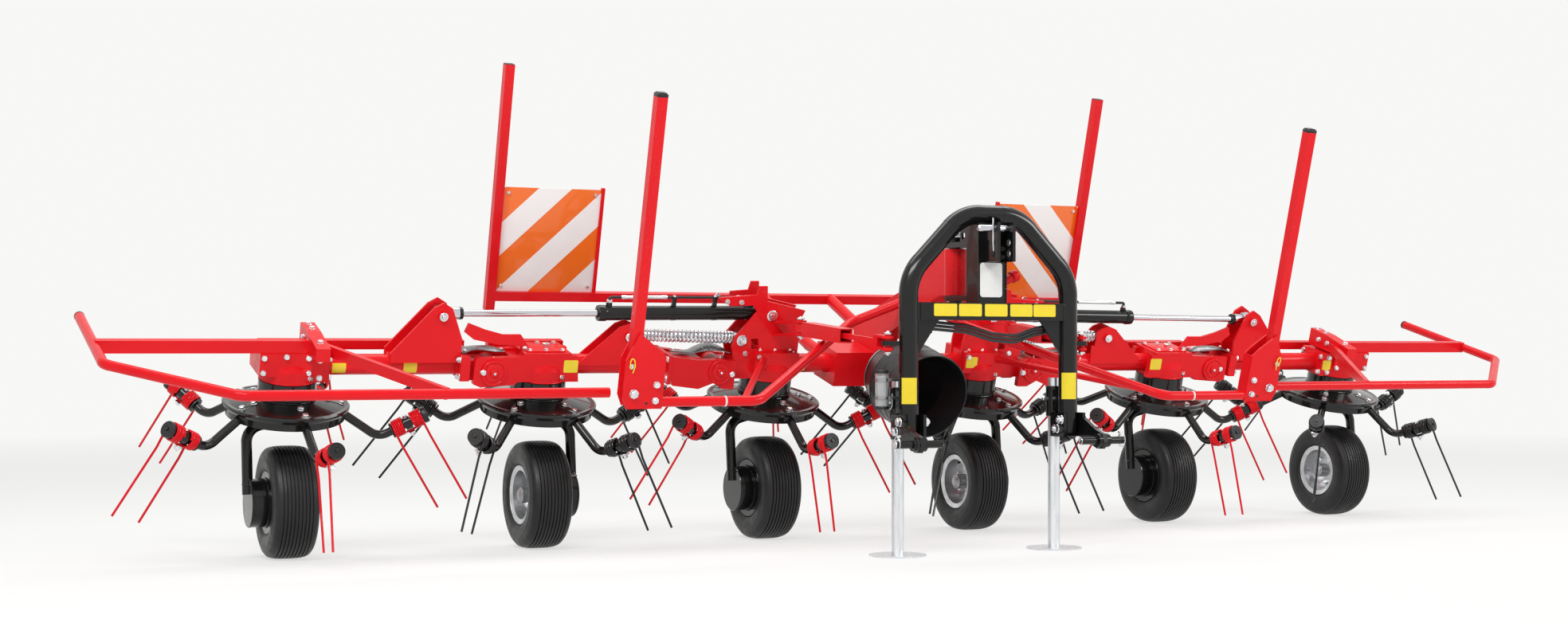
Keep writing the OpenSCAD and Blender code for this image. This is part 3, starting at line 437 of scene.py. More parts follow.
def rotor_frame(i, k):
    """Frame of arm k of rotor i, with X along the arm."""
    first = 62.0 if ROTORS[i][2] > 0 else 10.0
    return rotor_axis(i) @ turn(first + 360 / ARM_COUNT * k, "Z")


# Tines: two real coils of wire on each arm, joined under the clamp

ARM_RISE = math.radians(30)
ARM_IN = Vector((math.cos(ARM_RISE), 0, math.sin(ARM_RISE)))
TINE_DOWN = Vector((math.sin(ARM_RISE), 0, -math.cos(ARM_RISE)))
ARM_MID = Vector((0.437, 0, 0.478))
COIL_GAP, COIL_L, WIRE, COIL_R = 0.026, 0.045, 0.009, 0.0295
COIL_TURNS, STEPS_A_TURN = 4.5, 26
KNEE = 0.070
TIP_LAG = math.radians(5)


def bend(points, radius, steps=7):
    """The path with each inner corner rounded."""
    out = [points[0]]
    for a, b, c in zip(points, points[1:], points[2:]):
        u, v = (a - b).normalized(), (c - b).normalized()
        half = (math.pi - u.angle(v)) / 2
        cut = min(radius * math.tan(half), 0.45 * (a - b).length, 0.45 * (c - b).length)
        p, q = b + u * cut, b + v * cut
        for s in range(steps + 1):
            t = s / steps
            out.append(p * (1 - t) ** 2 + b * (2 * t * (1 - t)) + q * t ** 2)
    out.append(points[-1])
    return out


def coil_path(direction, tip, s):
    """Wire from the clamp round the coil and down to the tip."""
    z = ARM_IN * direction
    x = Vector((0, 1, 0))
    y = z.cross(x)
    start = ARM_MID + z * (COIL_GAP / 2)
    end_angle = 0.0 if s > 0 else math.pi
    # The wire leaves the coil downwards
    leaving = 1 if (y.dot(TINE_DOWN) > 0) == (s > 0) else -1
    steps = int(COIL_TURNS * STEPS_A_TURN)
    pts = []
    for n in range(steps + 1):
        t = n / steps
        angle = end_angle - leaving * (1 - t) * COIL_TURNS * 2 * math.pi
        along = WIRE / 2 + t * (COIL_L - WIRE)
        pts.append(start + z * along + x * (COIL_R * math.cos(angle)) + y * (COIL_R * math.sin(angle)))
    end = pts.pop()
    return pts + bend([end, end + TINE_DOWN * KNEE, tip], 0.030)


for i, (_, _, phase) in ROTORS.items():
    s = -phase
    coils, clamps = Builder(), Builder()
    for k in range(ARM_COUNT):
        at = rotor_frame(i, k)
        for direction, r, z in ((1, 0.668, 0.210), (-1, 0.566, 0.170)):
            tip = Vector((r * math.cos(TIP_LAG), s * r * math.sin(TIP_LAG), z + 0.003))
            coils.put(*tube(coil_path(direction, tip, s), WIRE / 2 - 0.0002, 10), at)
        # Bridge of the wire under the clamp
        low = ARM_MID + TINE_DOWN * COIL_R
        coils.put(*tube([low - ARM_IN * 0.018, low + ARM_IN * 0.018], WIRE / 2, 10), at)
        # Clamp bolt through the holder, with its plate under the wire
        clamps.put(*box((0.022, 0.030, 0.006)), at @ facing(low + TINE_DOWN * 0.0075, TINE_DOWN))
        bolt(clamps, at @ facing(low + TINE_DOWN * 0.0105, TINE_DOWN, 0.3), 0.010, nut=True)
        bolt(clamps, at @ facing(ARM_MID - TINE_DOWN * 0.0232, -TINE_DOWN, 0.5), 0.010)
    look, slot = (TINE_RED, "tine_red") if phase > 0 else (TINE_BLACK, "tine_black")
    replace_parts(coils.finish(f"tine_wire_{i}", look, f"rotor_{i}", slot), f"tines_{i}")
    clamps.finish(f"tine_clamps_{i}", ZINC, f"rotor_{i}", "zinc")

# Everything below is gathered into one piece for each body and kind

KINDS = {
    "bolts": (ZINC, "zinc"), "caps": (CAP, "guard_plastic"), "hoses": (HOSE, "guard_plastic"),
    "yellow_labels": (YELLOW, "sign"), "white_labels": (WHITE, "sign"), "red_trim": (RED, "red_paint"),
    "black_trim": (BLACK, "black_paint"), "chrome_trim": (CHROME, "chrome"), "steel_trim": (STEEL, "zinc"),
    "rim_trim": (RIM, "rim_silver"), "welds_red": (RED, "red_paint"), "welds_black": (BLACK, "black_paint"),
    "clear": (CLEAR, "guard_plastic"),
}
GROUPS = {}
HEAD = "headstock"
FRONT = Vector((0, -1, 0))
UP, OUTWARD = (0, 0, 1), (1, 0, 0)
SIDES = ((-1, "left"), (1, "right"))


def on(body, kind):
    return GROUPS.setdefault((body, kind), Builder())


def in_lean(s):
    """Frame of the rotors' leaning frame on side s."""
    return LEANING @ sided(s)


def turned(body, kind, at, segments, *profile):
    """Solid turned about Z of the frame at, from (radius, height) points in millimetres."""
    on(body, kind).put(*lathe(mm(profile), segments), at)


def ringed(body, kind, at, segments, *profile):
    """Ring turned about Z of the frame at, from a closed loop of (radius, height) points in millimetres."""
    on(body, kind).put(*ring(mm(profile), segments), at)


def block(body, kind, at, size, centre=(0, 0, 0), bevel=0.001):
    on(body, kind).put(*box(size, centre, bevel), at)


def screw(body, frame, point, direction, spin, d, nut=False):
    """Bolt head or nut at a point of the frame, standing out along direction."""
    bolt(on(body, "bolts"), frame @ facing(point, direction, spin), d, nut=nut)


def weld(body, kind, at, radius, bead, lumps):
    """Bead of weld round a tube, with the ripple of its passes."""
    sides = 6
    verts = []
    for k in range(lumps):
        r = bead * (0.85 + 0.22 * math.sin(2.4 * k) + 0.1 * math.sin(5.1 * k))
        for i in range(sides):
            b = 2 * math.pi * i / sides
            verts.append(polar(radius + r * math.cos(b), k / lumps, r * math.sin(b)))
    on(body, kind).put(verts, loop_faces(lumps, sides), at)


def weld_line(body, kind, frame, p0, p1, r=0.0035):
    """Straight bead of weld between two points."""
    a, b = Vector(p0), Vector(p1)
    n = max(6, int((b - a).length / 0.004))
    shares = [0.8 + 0.2 * math.sin(2.3 * k) for k in range(n + 1)]
    shares[0] = shares[-1] = 0.5
    on(body, kind).put(*tube([a.lerp(b, k / n) for k in range(n + 1)], r, 7, shares), frame)


def label(body, kind, at, w, h):
    """Blank film with rounded corners, 0.6 mm proud of the surface, facing Z of the frame at."""
    r = min(w, h) * 0.12
    x, y = w / 2 - r, h / 2 - r
    outline = []
    for cx, cy, a0 in ((x, y, 0), (-x, y, 90), (-x, -y, 180), (x, -y, 270)):
        for k in range(5):
            a = math.radians(a0 + 22.5 * k)
            outline.append((cx + r * math.cos(a), cy + r * math.sin(a)))
    n = len(outline)
    verts = [(x, y, z) for z in (-0.001, 0.0006) for x, y in outline]
    faces = [tuple(range(n))[::-1], tuple(range(n, 2 * n))]
    faces += [(k, (k + 1) % n, n + (k + 1) % n, n + k) for k in range(n)]
    on(body, kind).put(verts, faces, at)


def label_round(body, kind, frame, radius, middle, half, height, steps=10):
    """Blank film wrapped on a tube along Z of the frame, between two angles in degrees."""
    verts, faces = [], []
    low, high, top = radius - 0.001, radius + 0.0006, height / 2
    for k in range(steps + 1):
        share = (middle - half + 2 * half * k / steps) / 360
        verts += [polar(r, share, z) for r, z in ((low, -top), (high, -top), (high, top), (low, top))]
    for k in range(steps):
        for i in range(4):
            j = (i + 1) % 4
            faces.append((4 * k + i, 4 * k + j, 4 * k + 4 + j, 4 * k + 4 + i))
    faces += [(0, 3, 2, 1), (4 * steps, 4 * steps + 1, 4 * steps + 2, 4 * steps + 3)]
    on(body, kind).put(verts, faces, frame)


def toward(point, direction, up=UP):
    """Frame at point with Z along direction and Y as near up as it can be."""
    z = Vector(direction).normalized()
    x = Vector(up).cross(z).normalized()
    return Matrix.Translation(point) @ Matrix((x, z.cross(x), z)).transposed().to_4x4()


def pin_head(body, frame, point, direction, radius):
    """Plated pin end: stepped head with a turned groove."""
    shape = ((0, -2), (1, -2), (1, 3.5), (0.9, 5), (0.62, 5), (0.58, 3.8), (0.5, 3.8),
             (0.46, 6), (0.38, 10), (0, 10))
    turned(body, "bolts", frame @ facing(point, direction), 28, *((1000 * radius * r, z) for r, z in shape))


def rod(body, kind, frame, radius, sides, bend_r, *points):
    """Bent round wire or pipe along a few points of the frame."""
    pts = [Vector(q) for q in points]
    on(body, kind).put(*tube(bend(pts, bend_r, 6) if bend_r else pts, radius, sides), frame)


def linch(body, at, length):
    """Linch pin along Z of the frame at, through a bar along its Y, with its sprung ring in front."""
    half = length / 2
    top = 1000 * half
    turned(body, "bolts", at, 16, (0, -top), (3, -top), (4.5, 4 - top), (4.5, top), (8.5, top), (9.5, top + 3),
           (8.5, top + 7), (0, top + 8))
    angles = [2 * math.pi * k / 30 for k in range(27)]
    rod(body, "bolts", at @ move(0, 0, 0.002), 0.0016, 7, 0,
        *((half * 0.85 * math.sin(a), -0.006, half * math.cos(a)) for a in angles))


# Rotors: coil caps, washers behind the inner coils, and two bolts on the disc over each arm
DISC_NORMAL = (0.2315, 0, 0.9728)


def disc_top(r):
    """Height of the disc's conical top at a radius."""
    return DISC_TOP + (DISC_R - r) * DISC_SLOPE


for i in ROTORS:
    body = f"rotor_{i}"
    for k in range(ARM_COUNT):
        at = rotor_frame(i, k)
        turned(body, "caps", at @ facing(ARM_MID + ARM_IN * 0.0725, ARM_IN), 28,
               (0, -14.5), (28.8, -14.5), (29.8, -12), (29.8, 1), (28.5, 3.2), (24.5, 3.2), (23.5, 1.8),
               (19, 1.8), (18, 3.2), (13, 3.2), (12, 1.6), (0, 1.6))
        bolt(on(body, "caps"), at @ facing(ARM_MID + ARM_IN * 0.0740, ARM_IN, 0.4 * k), 0.008, washer=False)
        ringed(body, "caps", at @ facing(ARM_MID - ARM_IN * 0.0584, ARM_IN), 28,
               (16.2, 0), (27.5, 0), (29, -1.5), (29, -6), (27, -7.5), (16.2, -7.5))
        for r in (0.192, 0.142):
            screw(body, at, (r, 0, disc_top(r) - 0.0004), DISC_NORMAL, 0.7 * k, 0.0115)
        # Clamp saddle on the disc for the arm, under the bolts
        saddle = toward((0.167, 0, disc_top(0.167) - 0.0012), DISC_NORMAL, (0, 1, 0))
        block(body, "black_trim", at @ saddle, (0.085, 0.036, 0.004), bevel=0.0012)
    # Sealing lip at the top of the neck and a weld at its foot
    hub = rotor_axis(i)
    ringed(body, "black_trim", hub, 64, (102.5, 565), (106, 565), (107.2, 568), (106, 574), (102.5, 576))
    weld(body, "black_trim", hub @ move(0, 0, 0.5625), 0.104, 0.003, 90)

# Gearboxes: cover plate with bolts and filler, front bolts, and a plug on each side of the drum
BOX_SHIFT = {1: -0.027, 6: 0.027}
OUTER_BOLTS = ((-0.078, 0.726), (0.0, 0.731), (0.078, 0.726), (0.080, 0.672), (-0.080, 0.672))
FRONT_BOLTS = {1: OUTER_BOLTS, 6: OUTER_BOLTS, 3: OUTER_BOLTS[:1], 4: OUTER_BOLTS[:1]}
COVER_TOP = 0.7466
for i in ROTORS:
    body = LEG_BODY[i]
    shift = BOX_SHIFT.get(i, 0.0)
    base = rotor_axis(i) @ move(shift, 0, 0)
    # The guard lies over an outer gearbox, so its cover is behind it
    if i in BOX_SHIFT:
        cover_l, cover_y, xs, ys = 0.070, 0.045, (-0.050, 0.064), (0.020, 0.070)
    else:
        cover_l, cover_y, xs, ys = 0.128, 0, (-0.064, 0, 0.064), (-0.053, 0.053)
    block(body, "red_trim", base, (0.150, cover_l, 0.005), (0, cover_y, 0.7443), 0.0015)
    for x in xs:
        for y in ys:
            bolt(on(body, "bolts"), base @ move(x, y, COVER_TOP), 0.008)
    if i not in BOX_SHIFT:
        on(body, "bolts").put(*hexagon(0.026, 0.012, 0.001, COVER_TOP), base @ move(0.020, 0.008, 0))
    for x, z in FRONT_BOLTS.get(i, ()):
        screw(body, base, (x, -0.0852, z), FRONT, x * 9, 0.010)
    for y in (-0.0825, 0.0825):
        screw(body, rotor_axis(i), (0.060, y, 0.650), (0.060, y, 0), 0, 0.010)
    weld(body, "red_trim", rotor_axis(i) @ move(0, 0, 0.6305), 0.1015, 0.002, 90)

# Fold hinges: grooved rings, pin ends and their locking bolts, flange bolts
HINGES = ((0.7125, -0.050, -0.010), (1.6255, 0.040, 0.002))
for s, side in SIDES:
    f = in_lean(s)
    inner, outer = "inner_wing_" + side, "outer_wing_" + side
    for x, lock_x, lock_z in HINGES:
        for face_y, lock_y, direction in ((0.062, 0.068, FRONT), (0.228, 0.222, -FRONT)):
            at = f @ facing((x, face_y, HINGE_Z), direction)
            ringed(inner, "red_trim", at, 48, (40.5, -1), (49, -1), (49, 2), (47.5, 3.5), (42, 3.5), (40.5, 2))
            ringed(inner, "red_trim", at, 40, (15.5, -1), (33, -1), (34, 0.6), (34, 3), (32.5, 4.2),
                   (15.5, 4.2))
            turned(inner, "red_trim", at, 28, (0, 6), (15.5, 6), (16, 8.5), (13.5, 11.5), (0, 12))
            turned(inner, "bolts", at, 14, (0, 11), (5, 11), (5, 13.5), (3, 14.5), (3.6, 17.5), (0, 19))
            screw(inner, f, (x + lock_x, lock_y, HINGE_Z + lock_z), direction, 0.4, 0.012)
        # Grease nipple in the boss
        turned(inner, "bolts", f @ facing((x, 0.080, 0.7185), UP), 12,
               (0, -2), (3.5, -2), (3.5, 4), (2, 4.5), (3, 7), (1.5, 9), (0, 9))
    for body, x, ys, zs, spin in ((inner, 0.9303, (0.083, 0.207), (0.640, 0.716), 7),
                                  (outer, 1.7513, (0.084, 0.206), (0.652, 0.716), 5)):
        for y in ys:
            for z in zs:
                screw(body, f, (x, y, z), OUTWARD, z * spin, 0.012, nut=True)

    # Flange plate inboard of the outer gearbox
    for y in (0.092, 0.216):
        for z in (0.650, 0.718):
            screw(outer, f, (2.2323, y, z), (-1, 0, 0), y * 9, 0.011)
    for z in (0.650, 0.716):
        screw(outer, f, (2.268, 0.0802, z), FRONT, z, 0.011)

    # Cylinder and spring pins in their brackets
    for body, x, z, front, back, radius in (
            ("centre", 0.503, 0.887, 0.098, 0.192, 0.022), ("centre", 0.621, 0.787, 0.098, 0.192, 0.022),
            (outer, 1.824, 0.875, 0.090, 0.200, 0.0165), (inner, 1.088, 0.797, 0.103, 0.187, 0.0165)):
        pin_head(body, f, (x, front, z), FRONT, radius)
        pin_head(body, f, (x, back, z), -FRONT, radius)
    # Bolt through the foot of the hook plate, and bolts on the cylinder bracket
    screw(inner, f, (1.495, 0.120, 0.748), FRONT, 1.5, 0.010)
    for x, z in ((0.395, 0.735), (0.600, 0.735), (0.640, 0.940), (0.700, 0.942)):
        screw("centre", f, (x, 0.098, z), FRONT, x * 3, 0.010)
        screw("centre", f, (x, 0.192, z), -FRONT, x * 3, 0.010)

# Headstock: labels, pins, swivel caps, hitch bolts, pipes and welds
for x in (-0.202, -0.098, 0.011, 0.119, 0.219):
    label(HEAD, "yellow_labels", UPRIGHT @ toward((x, -0.974, 0.893), FRONT), 0.096, 0.045)
label(HEAD, "white_labels", UPRIGHT @ toward((-0.004, -0.963, 1.004), FRONT), 0.094, 0.126)
for x, z, h in ((-0.339, 0.601, 0.094), (0.339, 0.614, 0.098)):
    label_round(HEAD, "yellow_labels", UPRIGHT @ move(x, -0.946, z), 0.035, -113, 50, h)
turned(HEAD, "chrome_trim", UPRIGHT @ facing((-0.105, -1.035, 1.188), OUTWARD), 32,
       (0, 0), (7, 1), (11, 4.5), (12.5, 10), (12.5, 150), (11, 153), (0, 153))
hairpin = ((0.000, 1.226), (0.002, 1.205), (-0.004, 1.186), (-0.014, 1.168), (-0.017, 1.150), (-0.012, 1.136),
           (-0.016, 1.118), (-0.021, 1.103), (-0.013, 1.116), (-0.004, 1.134), (-0.001, 1.150), (-0.004, 1.166),
           (0.001, 1.184), (0.010, 1.204), (0.014, 1.222))
rod(HEAD, "bolts", UPRIGHT, 0.0024, 8, 0.008, *((-0.049, -1.050 - 0.2 * abs(x), z) for x, z in hairpin))
for z in (1.088, 1.118):
    for x in (-0.030, 0.030):
        screw(HEAD, UPRIGHT, (x * 0.55, -0.9753, z), FRONT, x * 9, 0.008)
for z, up in ((1.165, 1), (0.915, -1)):
    at = UPRIGHT @ facing((0, -0.700, z), (0, 0, up))
    turned(HEAD, "black_trim", at, 40, (0, -1), (38, -1), (40, 2), (40, 5), (38, 7), (0, 7))
    bolt(on(HEAD, "bolts"), at @ move(0, 0, 0.006), 0.020, nut=True)
for s, side in SIDES:
    f = UPRIGHT @ sided(s)
    for y, z in ((-0.946, 0.455), (-0.975, 0.489)):
        screw(HEAD, f, (0.391, y, z), OUTWARD, z * 11, 0.016)
        screw(HEAD, f, (0.292, y, z), (-1, 0, 0), z * 11, 0.016, nut=True)
    for x, out in ((0.479, 1), (0.292, -1)):
        turned(HEAD, "chrome_trim", f @ facing((x, -1.103, 0.415), (out, 0, 0)), 28,
               (0, -0.5), (13.8, -0.5), (12, 2), (5, 2.2), (3, 0.8), (0, 0.8))
    linch(HEAD, f @ move(0.466, -1.103, 0.415) @ turn(90, "Z"), 0.052)
    ringed(HEAD, "black_trim", f @ facing((0.405, -1.103, 0.415), OUTWARD), 32,
           (14.3, 0), (23, 0), (24, 1), (24, 7), (23, 8), (14.3, 8))
    # Stand pin through its sleeve, with the sprung clip
    pin_head(HEAD, f, (0.365, -0.857, 0.565), OUTWARD, 0.013)
    turned(HEAD, "bolts", f @ facing((0.3055, -0.857, 0.565), (-1, 0, 0)), 16,
           (0, 0), (6, 0), (6, 18), (4.5, 20), (0, 20))
    rod(HEAD, "bolts", f, 0.0018, 7, 0.008, (0.378, -0.857, 0.575), (0.384, -0.868, 0.560),
        (0.380, -0.880, 0.530), (0.374, -0.886, 0.545), (0.372, -0.884, 0.590))
    weld(HEAD, "welds_black", f @ move(0.335, -0.857, 0.610), 0.0295, 0.0025, 50)
    # Welds of the crossbeam, the gussets, the column and the arch
    for y in (-0.974, -0.918):
        weld_line(HEAD, "welds_black", f, (0.304, y, 0.858), (0.304, y, 0.918))
    weld_line(HEAD, "welds_black", f, (0.304, -0.950, 0.8565), (0.216, -0.950, 0.8565), 0.003)
    weld_line(HEAD, "welds_black", f, (0.059, -0.966, 0.921), (0.059, -0.966, 1.150), 0.003)
    weld_line(HEAD, "welds_black", f, (0.045, -0.874, 0.940), (0.045, -0.874, 0.9305), 0.003)
    # Link pins
    for body, x, y, z in (("link_bar_" + side, 0.412, -0.925, 0.772), ("centre", 0.470, -0.330, 0.832)):
        pin_head(body, f, (x, y, z + 0.034), UP, 0.015)
        pin_head(body, f, (x, y, z - 0.034), (0, 0, -1), 0.015)

# Steel pipes bent to pass under the crossbeam, clipped to the gussets
for n in range(3):
    drop, y = 0.0125 * n, -0.931 + 0.003 * n
    rod(HEAD, "hoses", UPRIGHT, 0.0058, 10, 0.12, (-0.300, -0.931, 0.850 - drop), (-0.215, y, 0.848 - drop),
        (-0.090, y, 0.838 - drop), (0.020, y, 0.808 - drop), (0.120, y, 0.800 - drop), (0.205, y, 0.828 - drop),
        (0.300, -0.931, 0.846 - drop))
for x in (-0.248, 0.252):
    block(HEAD, "black_trim", UPRIGHT, (0.020, 0.024, 0.048), (x, -0.930, 0.832), 0.003)
    screw(HEAD, UPRIGHT, (x, -0.918, 0.832), (0, 1, 0), 0, 0.008)

# Red rubber buffer on the right of the column
turned(HEAD, "red_trim", UPRIGHT @ facing((0.054, -0.900, 0.982), (0.092, 0.005, 0.045)), 32,
       (0, 0), (15, 0), (16, 4), (16, 74), (22.5, 78), (23.5, 82), (23.5, 98), (21.5, 103), (10, 105), (0, 105))

# Clear tube for papers, strapped to the left leg
papers = UPRIGHT @ move(-0.412, -0.880, 0)
ringed(HEAD, "clear", papers, 36, (22.5, 540), (25, 540), (25, 668), (22.5, 668))
turned(HEAD, "white_labels", papers, 28, (0, 545), (20, 545), (20.5, 600), (20, 655), (0, 655))
for low, high in ((534, 545), (663, 676)):
    turned(HEAD, "caps", papers, 32, (0, low), (25, low), (26.2, low + 2), (26.2, high - 2), (25, high),
           (0, high))
for z in (575, 640):
    ringed(HEAD, "steel_trim", papers, 32, (25.2, z - 5), (26.5, z - 5), (26.5, z + 5), (25.2, z + 5))
    block(HEAD, "steel_trim", papers, (0.060, 0.004, 0.010), (0.028, -0.020, z / 1000))

# Wheels: hub cap, nuts and valve on the open side; a hub drum on the leg side; ribbed balloon tyres
GROOVES, GROOVE_PITCH, GROOVE_DEPTH = 4, 0.0128, 0.0052
TYRE_HALF_W, WIDEST_R = 0.0825, 0.150


def crown(z):
    """Radius of the tread at a place across it: rounded from the middle to the widest part."""
    share = min(1.0, abs(z) / TYRE_HALF_W) ** (1 / 0.62)
    return WIDEST_R + (WHEEL_Z - WIDEST_R) * math.sqrt(max(0.0, 1 - share * share)) ** 0.45


def tyre_profile():
    """Closed loop of (radius, across) points: rounded carcass with bead, scuff rings and nine grooves."""
    side = mm(((105.4, 60), (114.3, 60.5), (114.6, 71), (117, 74.5), (120, 75), (121.2, 76.8), (124, 78.5),
               (130, 80.6), (140, 82.1), (150, 82.5), (158, 82.2), (159, 82.8), (161, 82.6), (162, 81.7),
               (170, 80.6), (179, 78.5), (185, 76.2)))
    tread = []
    for g in range(-GROOVES - 1, GROOVES + 2):
        z = g * GROOVE_PITCH
        floor_r = crown(z) - GROOVE_DEPTH
        groove = [(floor_r, z - 0.0014), (floor_r, z + 0.0014)] if abs(g) <= GROOVES else []
        tread += [(crown(z - 0.0042), z - 0.0042), (crown(z - 0.0021), z - 0.0021)] + groove
        tread += [(crown(z + 0.0021), z + 0.0021), (crown(z + 0.0042), z + 0.0042)]
    return [(r, -z) for r, z in side] + tread + side[::-1]


TYRE_PROFILE = tyre_profile()
for i, (place, side_of_leg, _) in ROTORS.items():
    foot = UPRIGHT @ move(place * PITCH, 0, 0)
    wheel = foot @ move(0, 0, WHEEL_Z) @ sided(side_of_leg) @ turn(90, "Y")
    body, leg = f"wheel_{i}", LEG_BODY[i]
    turned(body, "steel_trim", wheel, 36, (0, -59), (30, -59), (30.5, -64), (28.5, -66.5), (24, -67.5),
           (19, -74), (11, -77.5), (0, -78.5))
    for n in range(5):
        a = math.radians(72 * n + 12 * i)
        for z, out in ((-0.0152, -1), (-0.0040, 1)):
            screw(body, wheel, polar(0.056, a / math.tau, z), (0, 0, out), a, 0.012, nut=True)
    rod(body, "caps", wheel @ turn(40 * i, "Z"), 0.0042, 10, 0.01,
        (0.084, 0, -0.008), (0.083, 0, -0.024), (0.079, 0, -0.040))
    ringed(body, "rim_trim", wheel, 64, (109.5, -72.5), (111.5, -71), (112, -69), (110, -67.2), (108, -70))
    # Closed hub drum between the leg and the wheel
    turned(leg, "black_trim", wheel, 72, (0, 65), (85, 65), (88.3, 68), (88.3, 79), (87, 80), (87, 130),
           (88.3, 131), (88.3, 135), (86, 138.2), (0, 138.6))
    ringed(body, "black_trim", wheel, 72, (89.6, 71.2), (112.8, 71.2), (113.2, 72.2), (112.2, 73.8), (91, 73.2))
    tyre = Builder()
    tyre.put(*ring(TYRE_PROFILE, 112), wheel)
    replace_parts(tyre.finish(f"tyre_ribbed_{i}", TYRE, body, "tyre", 30), f"tyre_{i}")
    weld(leg, "welds_black", foot @ sided(side_of_leg) @ move(0.138, 0, 0.2690), 0.0190, 0.003, 36)

# Cylinders: gland, welds, clamps and the oil pipe with its ferrules; springs as a real helix
SPRING_TURNS, STEPS_PER_TURN, SPRING_R = 23.0, 20, 0.021
COIL_START, COIL_END = 0.0345, 0.4026
for s, side in SIDES:
    cyl = in_lean(s) @ move(0.503, 0.145, 0.887) @ Matrix.Rotation(math.atan2(0.012, 1.321), 4, "Y")
    along = cyl @ turn(90, "Y")
    body, ram = "barrel_" + side, "ram_" + side
    ringed(body, "black_trim", along, 48, (27, 676), (30, 676), (31.2, 679), (31.2, 700), (29.8, 707.5),
           (18, 708), (18, 700), (27, 700))
    ringed(body, "caps", along, 40, (13.1, 706), (18.5, 706), (18.5, 709.5), (15, 712.5), (13.1, 712.5))
    weld(body, "welds_black", along @ move(0, 0, 0.037), 0.0262, 0.003, 60)
    for x in (0.074, 0.664):
        port = cyl @ move(x, 0, 0.0265)
        turned(body, "black_trim", port, 24, (0, 0), (12, 0), (12, 14), (10.5, 16), (0, 16))
        on(body, "bolts").put(*hexagon(0.019, 0.010, 0.001, 0.016), port)
    rod(body, "hoses", cyl, 0.0056, 10, 0.016, (0.664, 0, 0.040), (0.664, 0, 0.062), (0.600, 0, 0.062),
        (0.140, 0, 0.062), (0.074, 0, 0.062), (0.074, 0, 0.040))
    pipe = cyl @ move(0, 0, 0.062) @ turn(90, "Y")
    turned(body, "bolts", pipe, 20, (0, 430), (6.6, 430), (7.8, 433), (7.8, 450), (7, 452), (7, 595),
           (7.8, 597), (7.8, 614), (6.6, 617), (0, 617))
    turned(body, "bolts", pipe, 20, (0, 110), (6.8, 110), (8, 113), (8, 137), (6.8, 140), (0, 140))
    for x in (0.230, 0.400):
        mid = 1000 * x
        ringed(body, "black_trim", along, 48, (27.5, mid - 8), (29.2, mid - 8), (29.2, mid + 8),
               (27.5, mid + 8))
        block(body, "black_trim", cyl, (0.016, 0.016, 0.038), (x, 0, 0.046), 0.0015)
        bolt(on(body, "bolts"), cyl @ move(x, 0, 0.0645), 0.006)
    ringed(ram, "black_trim", along, 40, (12.8, 1236), (21.5, 1236), (23.2, 1239), (23.2, 1250), (12.8, 1250))
    weld(ram, "welds_black", along @ move(0, 0, 1.2915), 0.0228, 0.0025, 40)

    base = in_lean(s) @ move(0.621, 0.145, 0.787) @ Matrix.Rotation(-math.atan2(0.010, 0.467), 4, "Y")
    run = base @ turn(90, "Y")
    coil, ends = Builder(), Builder()
    pts = []
    for k in range(int(SPRING_TURNS * STEPS_PER_TURN) + 1):
        share = k / STEPS_PER_TURN / SPRING_TURNS
        a = 2 * math.pi * k / STEPS_PER_TURN
        # The turns lie closer together at both ends
        x = COIL_START + (COIL_END - COIL_START) * (0.06 * (1 - math.cos(math.pi * share)) + share * 0.88)
        pts.append((x, SPRING_R * math.cos(a), SPRING_R * math.sin(a)))
    coil.put(*tube(pts, 0.0045, 9), base)
    coil.put(*lathe(mm(((0, 18), (8, 18), (8, 452), (0, 452))), 24), run)
    for low, high in ((22, 31), (406.5, 415.5)):
        seat = (0, low), (22.5, low), (24, low + 1.5), (24, high - 1.5), (22.5, high), (0, high)
        coil.put(*lathe(mm(seat), 32), run)
    coil.put(*hexagon(0.027, 0.012, 0.001, 0.4155), run)
    eye = base @ move(0.467, 0, 0) @ turn(90, "X")
    coil.put(*ring(mm(((12.2, -18), (16, -18), (17, -17), (17, 17), (16, 18), (12.2, 18))), 36), eye)
    coil.put(*lathe(mm(((0, -17.5), (12.4, -17.5), (12.4, 17.5), (0, 17.5))), 28), eye)
    piece = coil.finish("spring_coil_" + side, ZINC, "spring_" + side, "zinc")
    pin = base @ turn(90, "X")
    ends.put(*ring(mm(((12.2, -20), (19, -20), (20, -19), (20, 19), (19, 20), (12.2, 20))), 36), pin)
    ends.put(*lathe(mm(((0, -50), (11.5, -50), (12.5, -49), (12.5, 49), (11.5, 50), (0, 50))), 32), pin)
    stub = ends.finish("spring_pin_" + side, ZINC, "spring_" + side, "zinc")
    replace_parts(stub, "spring_" + side)
    direction = (base.to_3x3() @ Vector(OUTWARD)).normalized()
    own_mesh(piece)

# Warning boards of sheet steel, standing on the crossbar beside their posts
signs = Builder()
for s, _ in SIDES:
    signs.put(*box((BOARD_W - 0.0006, 0.004, BOARD_Z[1] - BOARD_Z[0]),
                   (BOARD_OUT - BOARD_W / 2, 0.904, sum(BOARD_Z) / 2), 0.001), in_lean(s))
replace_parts(signs.finish("warning_boards", BOARD, "centre", "sign"), "sign_boards")

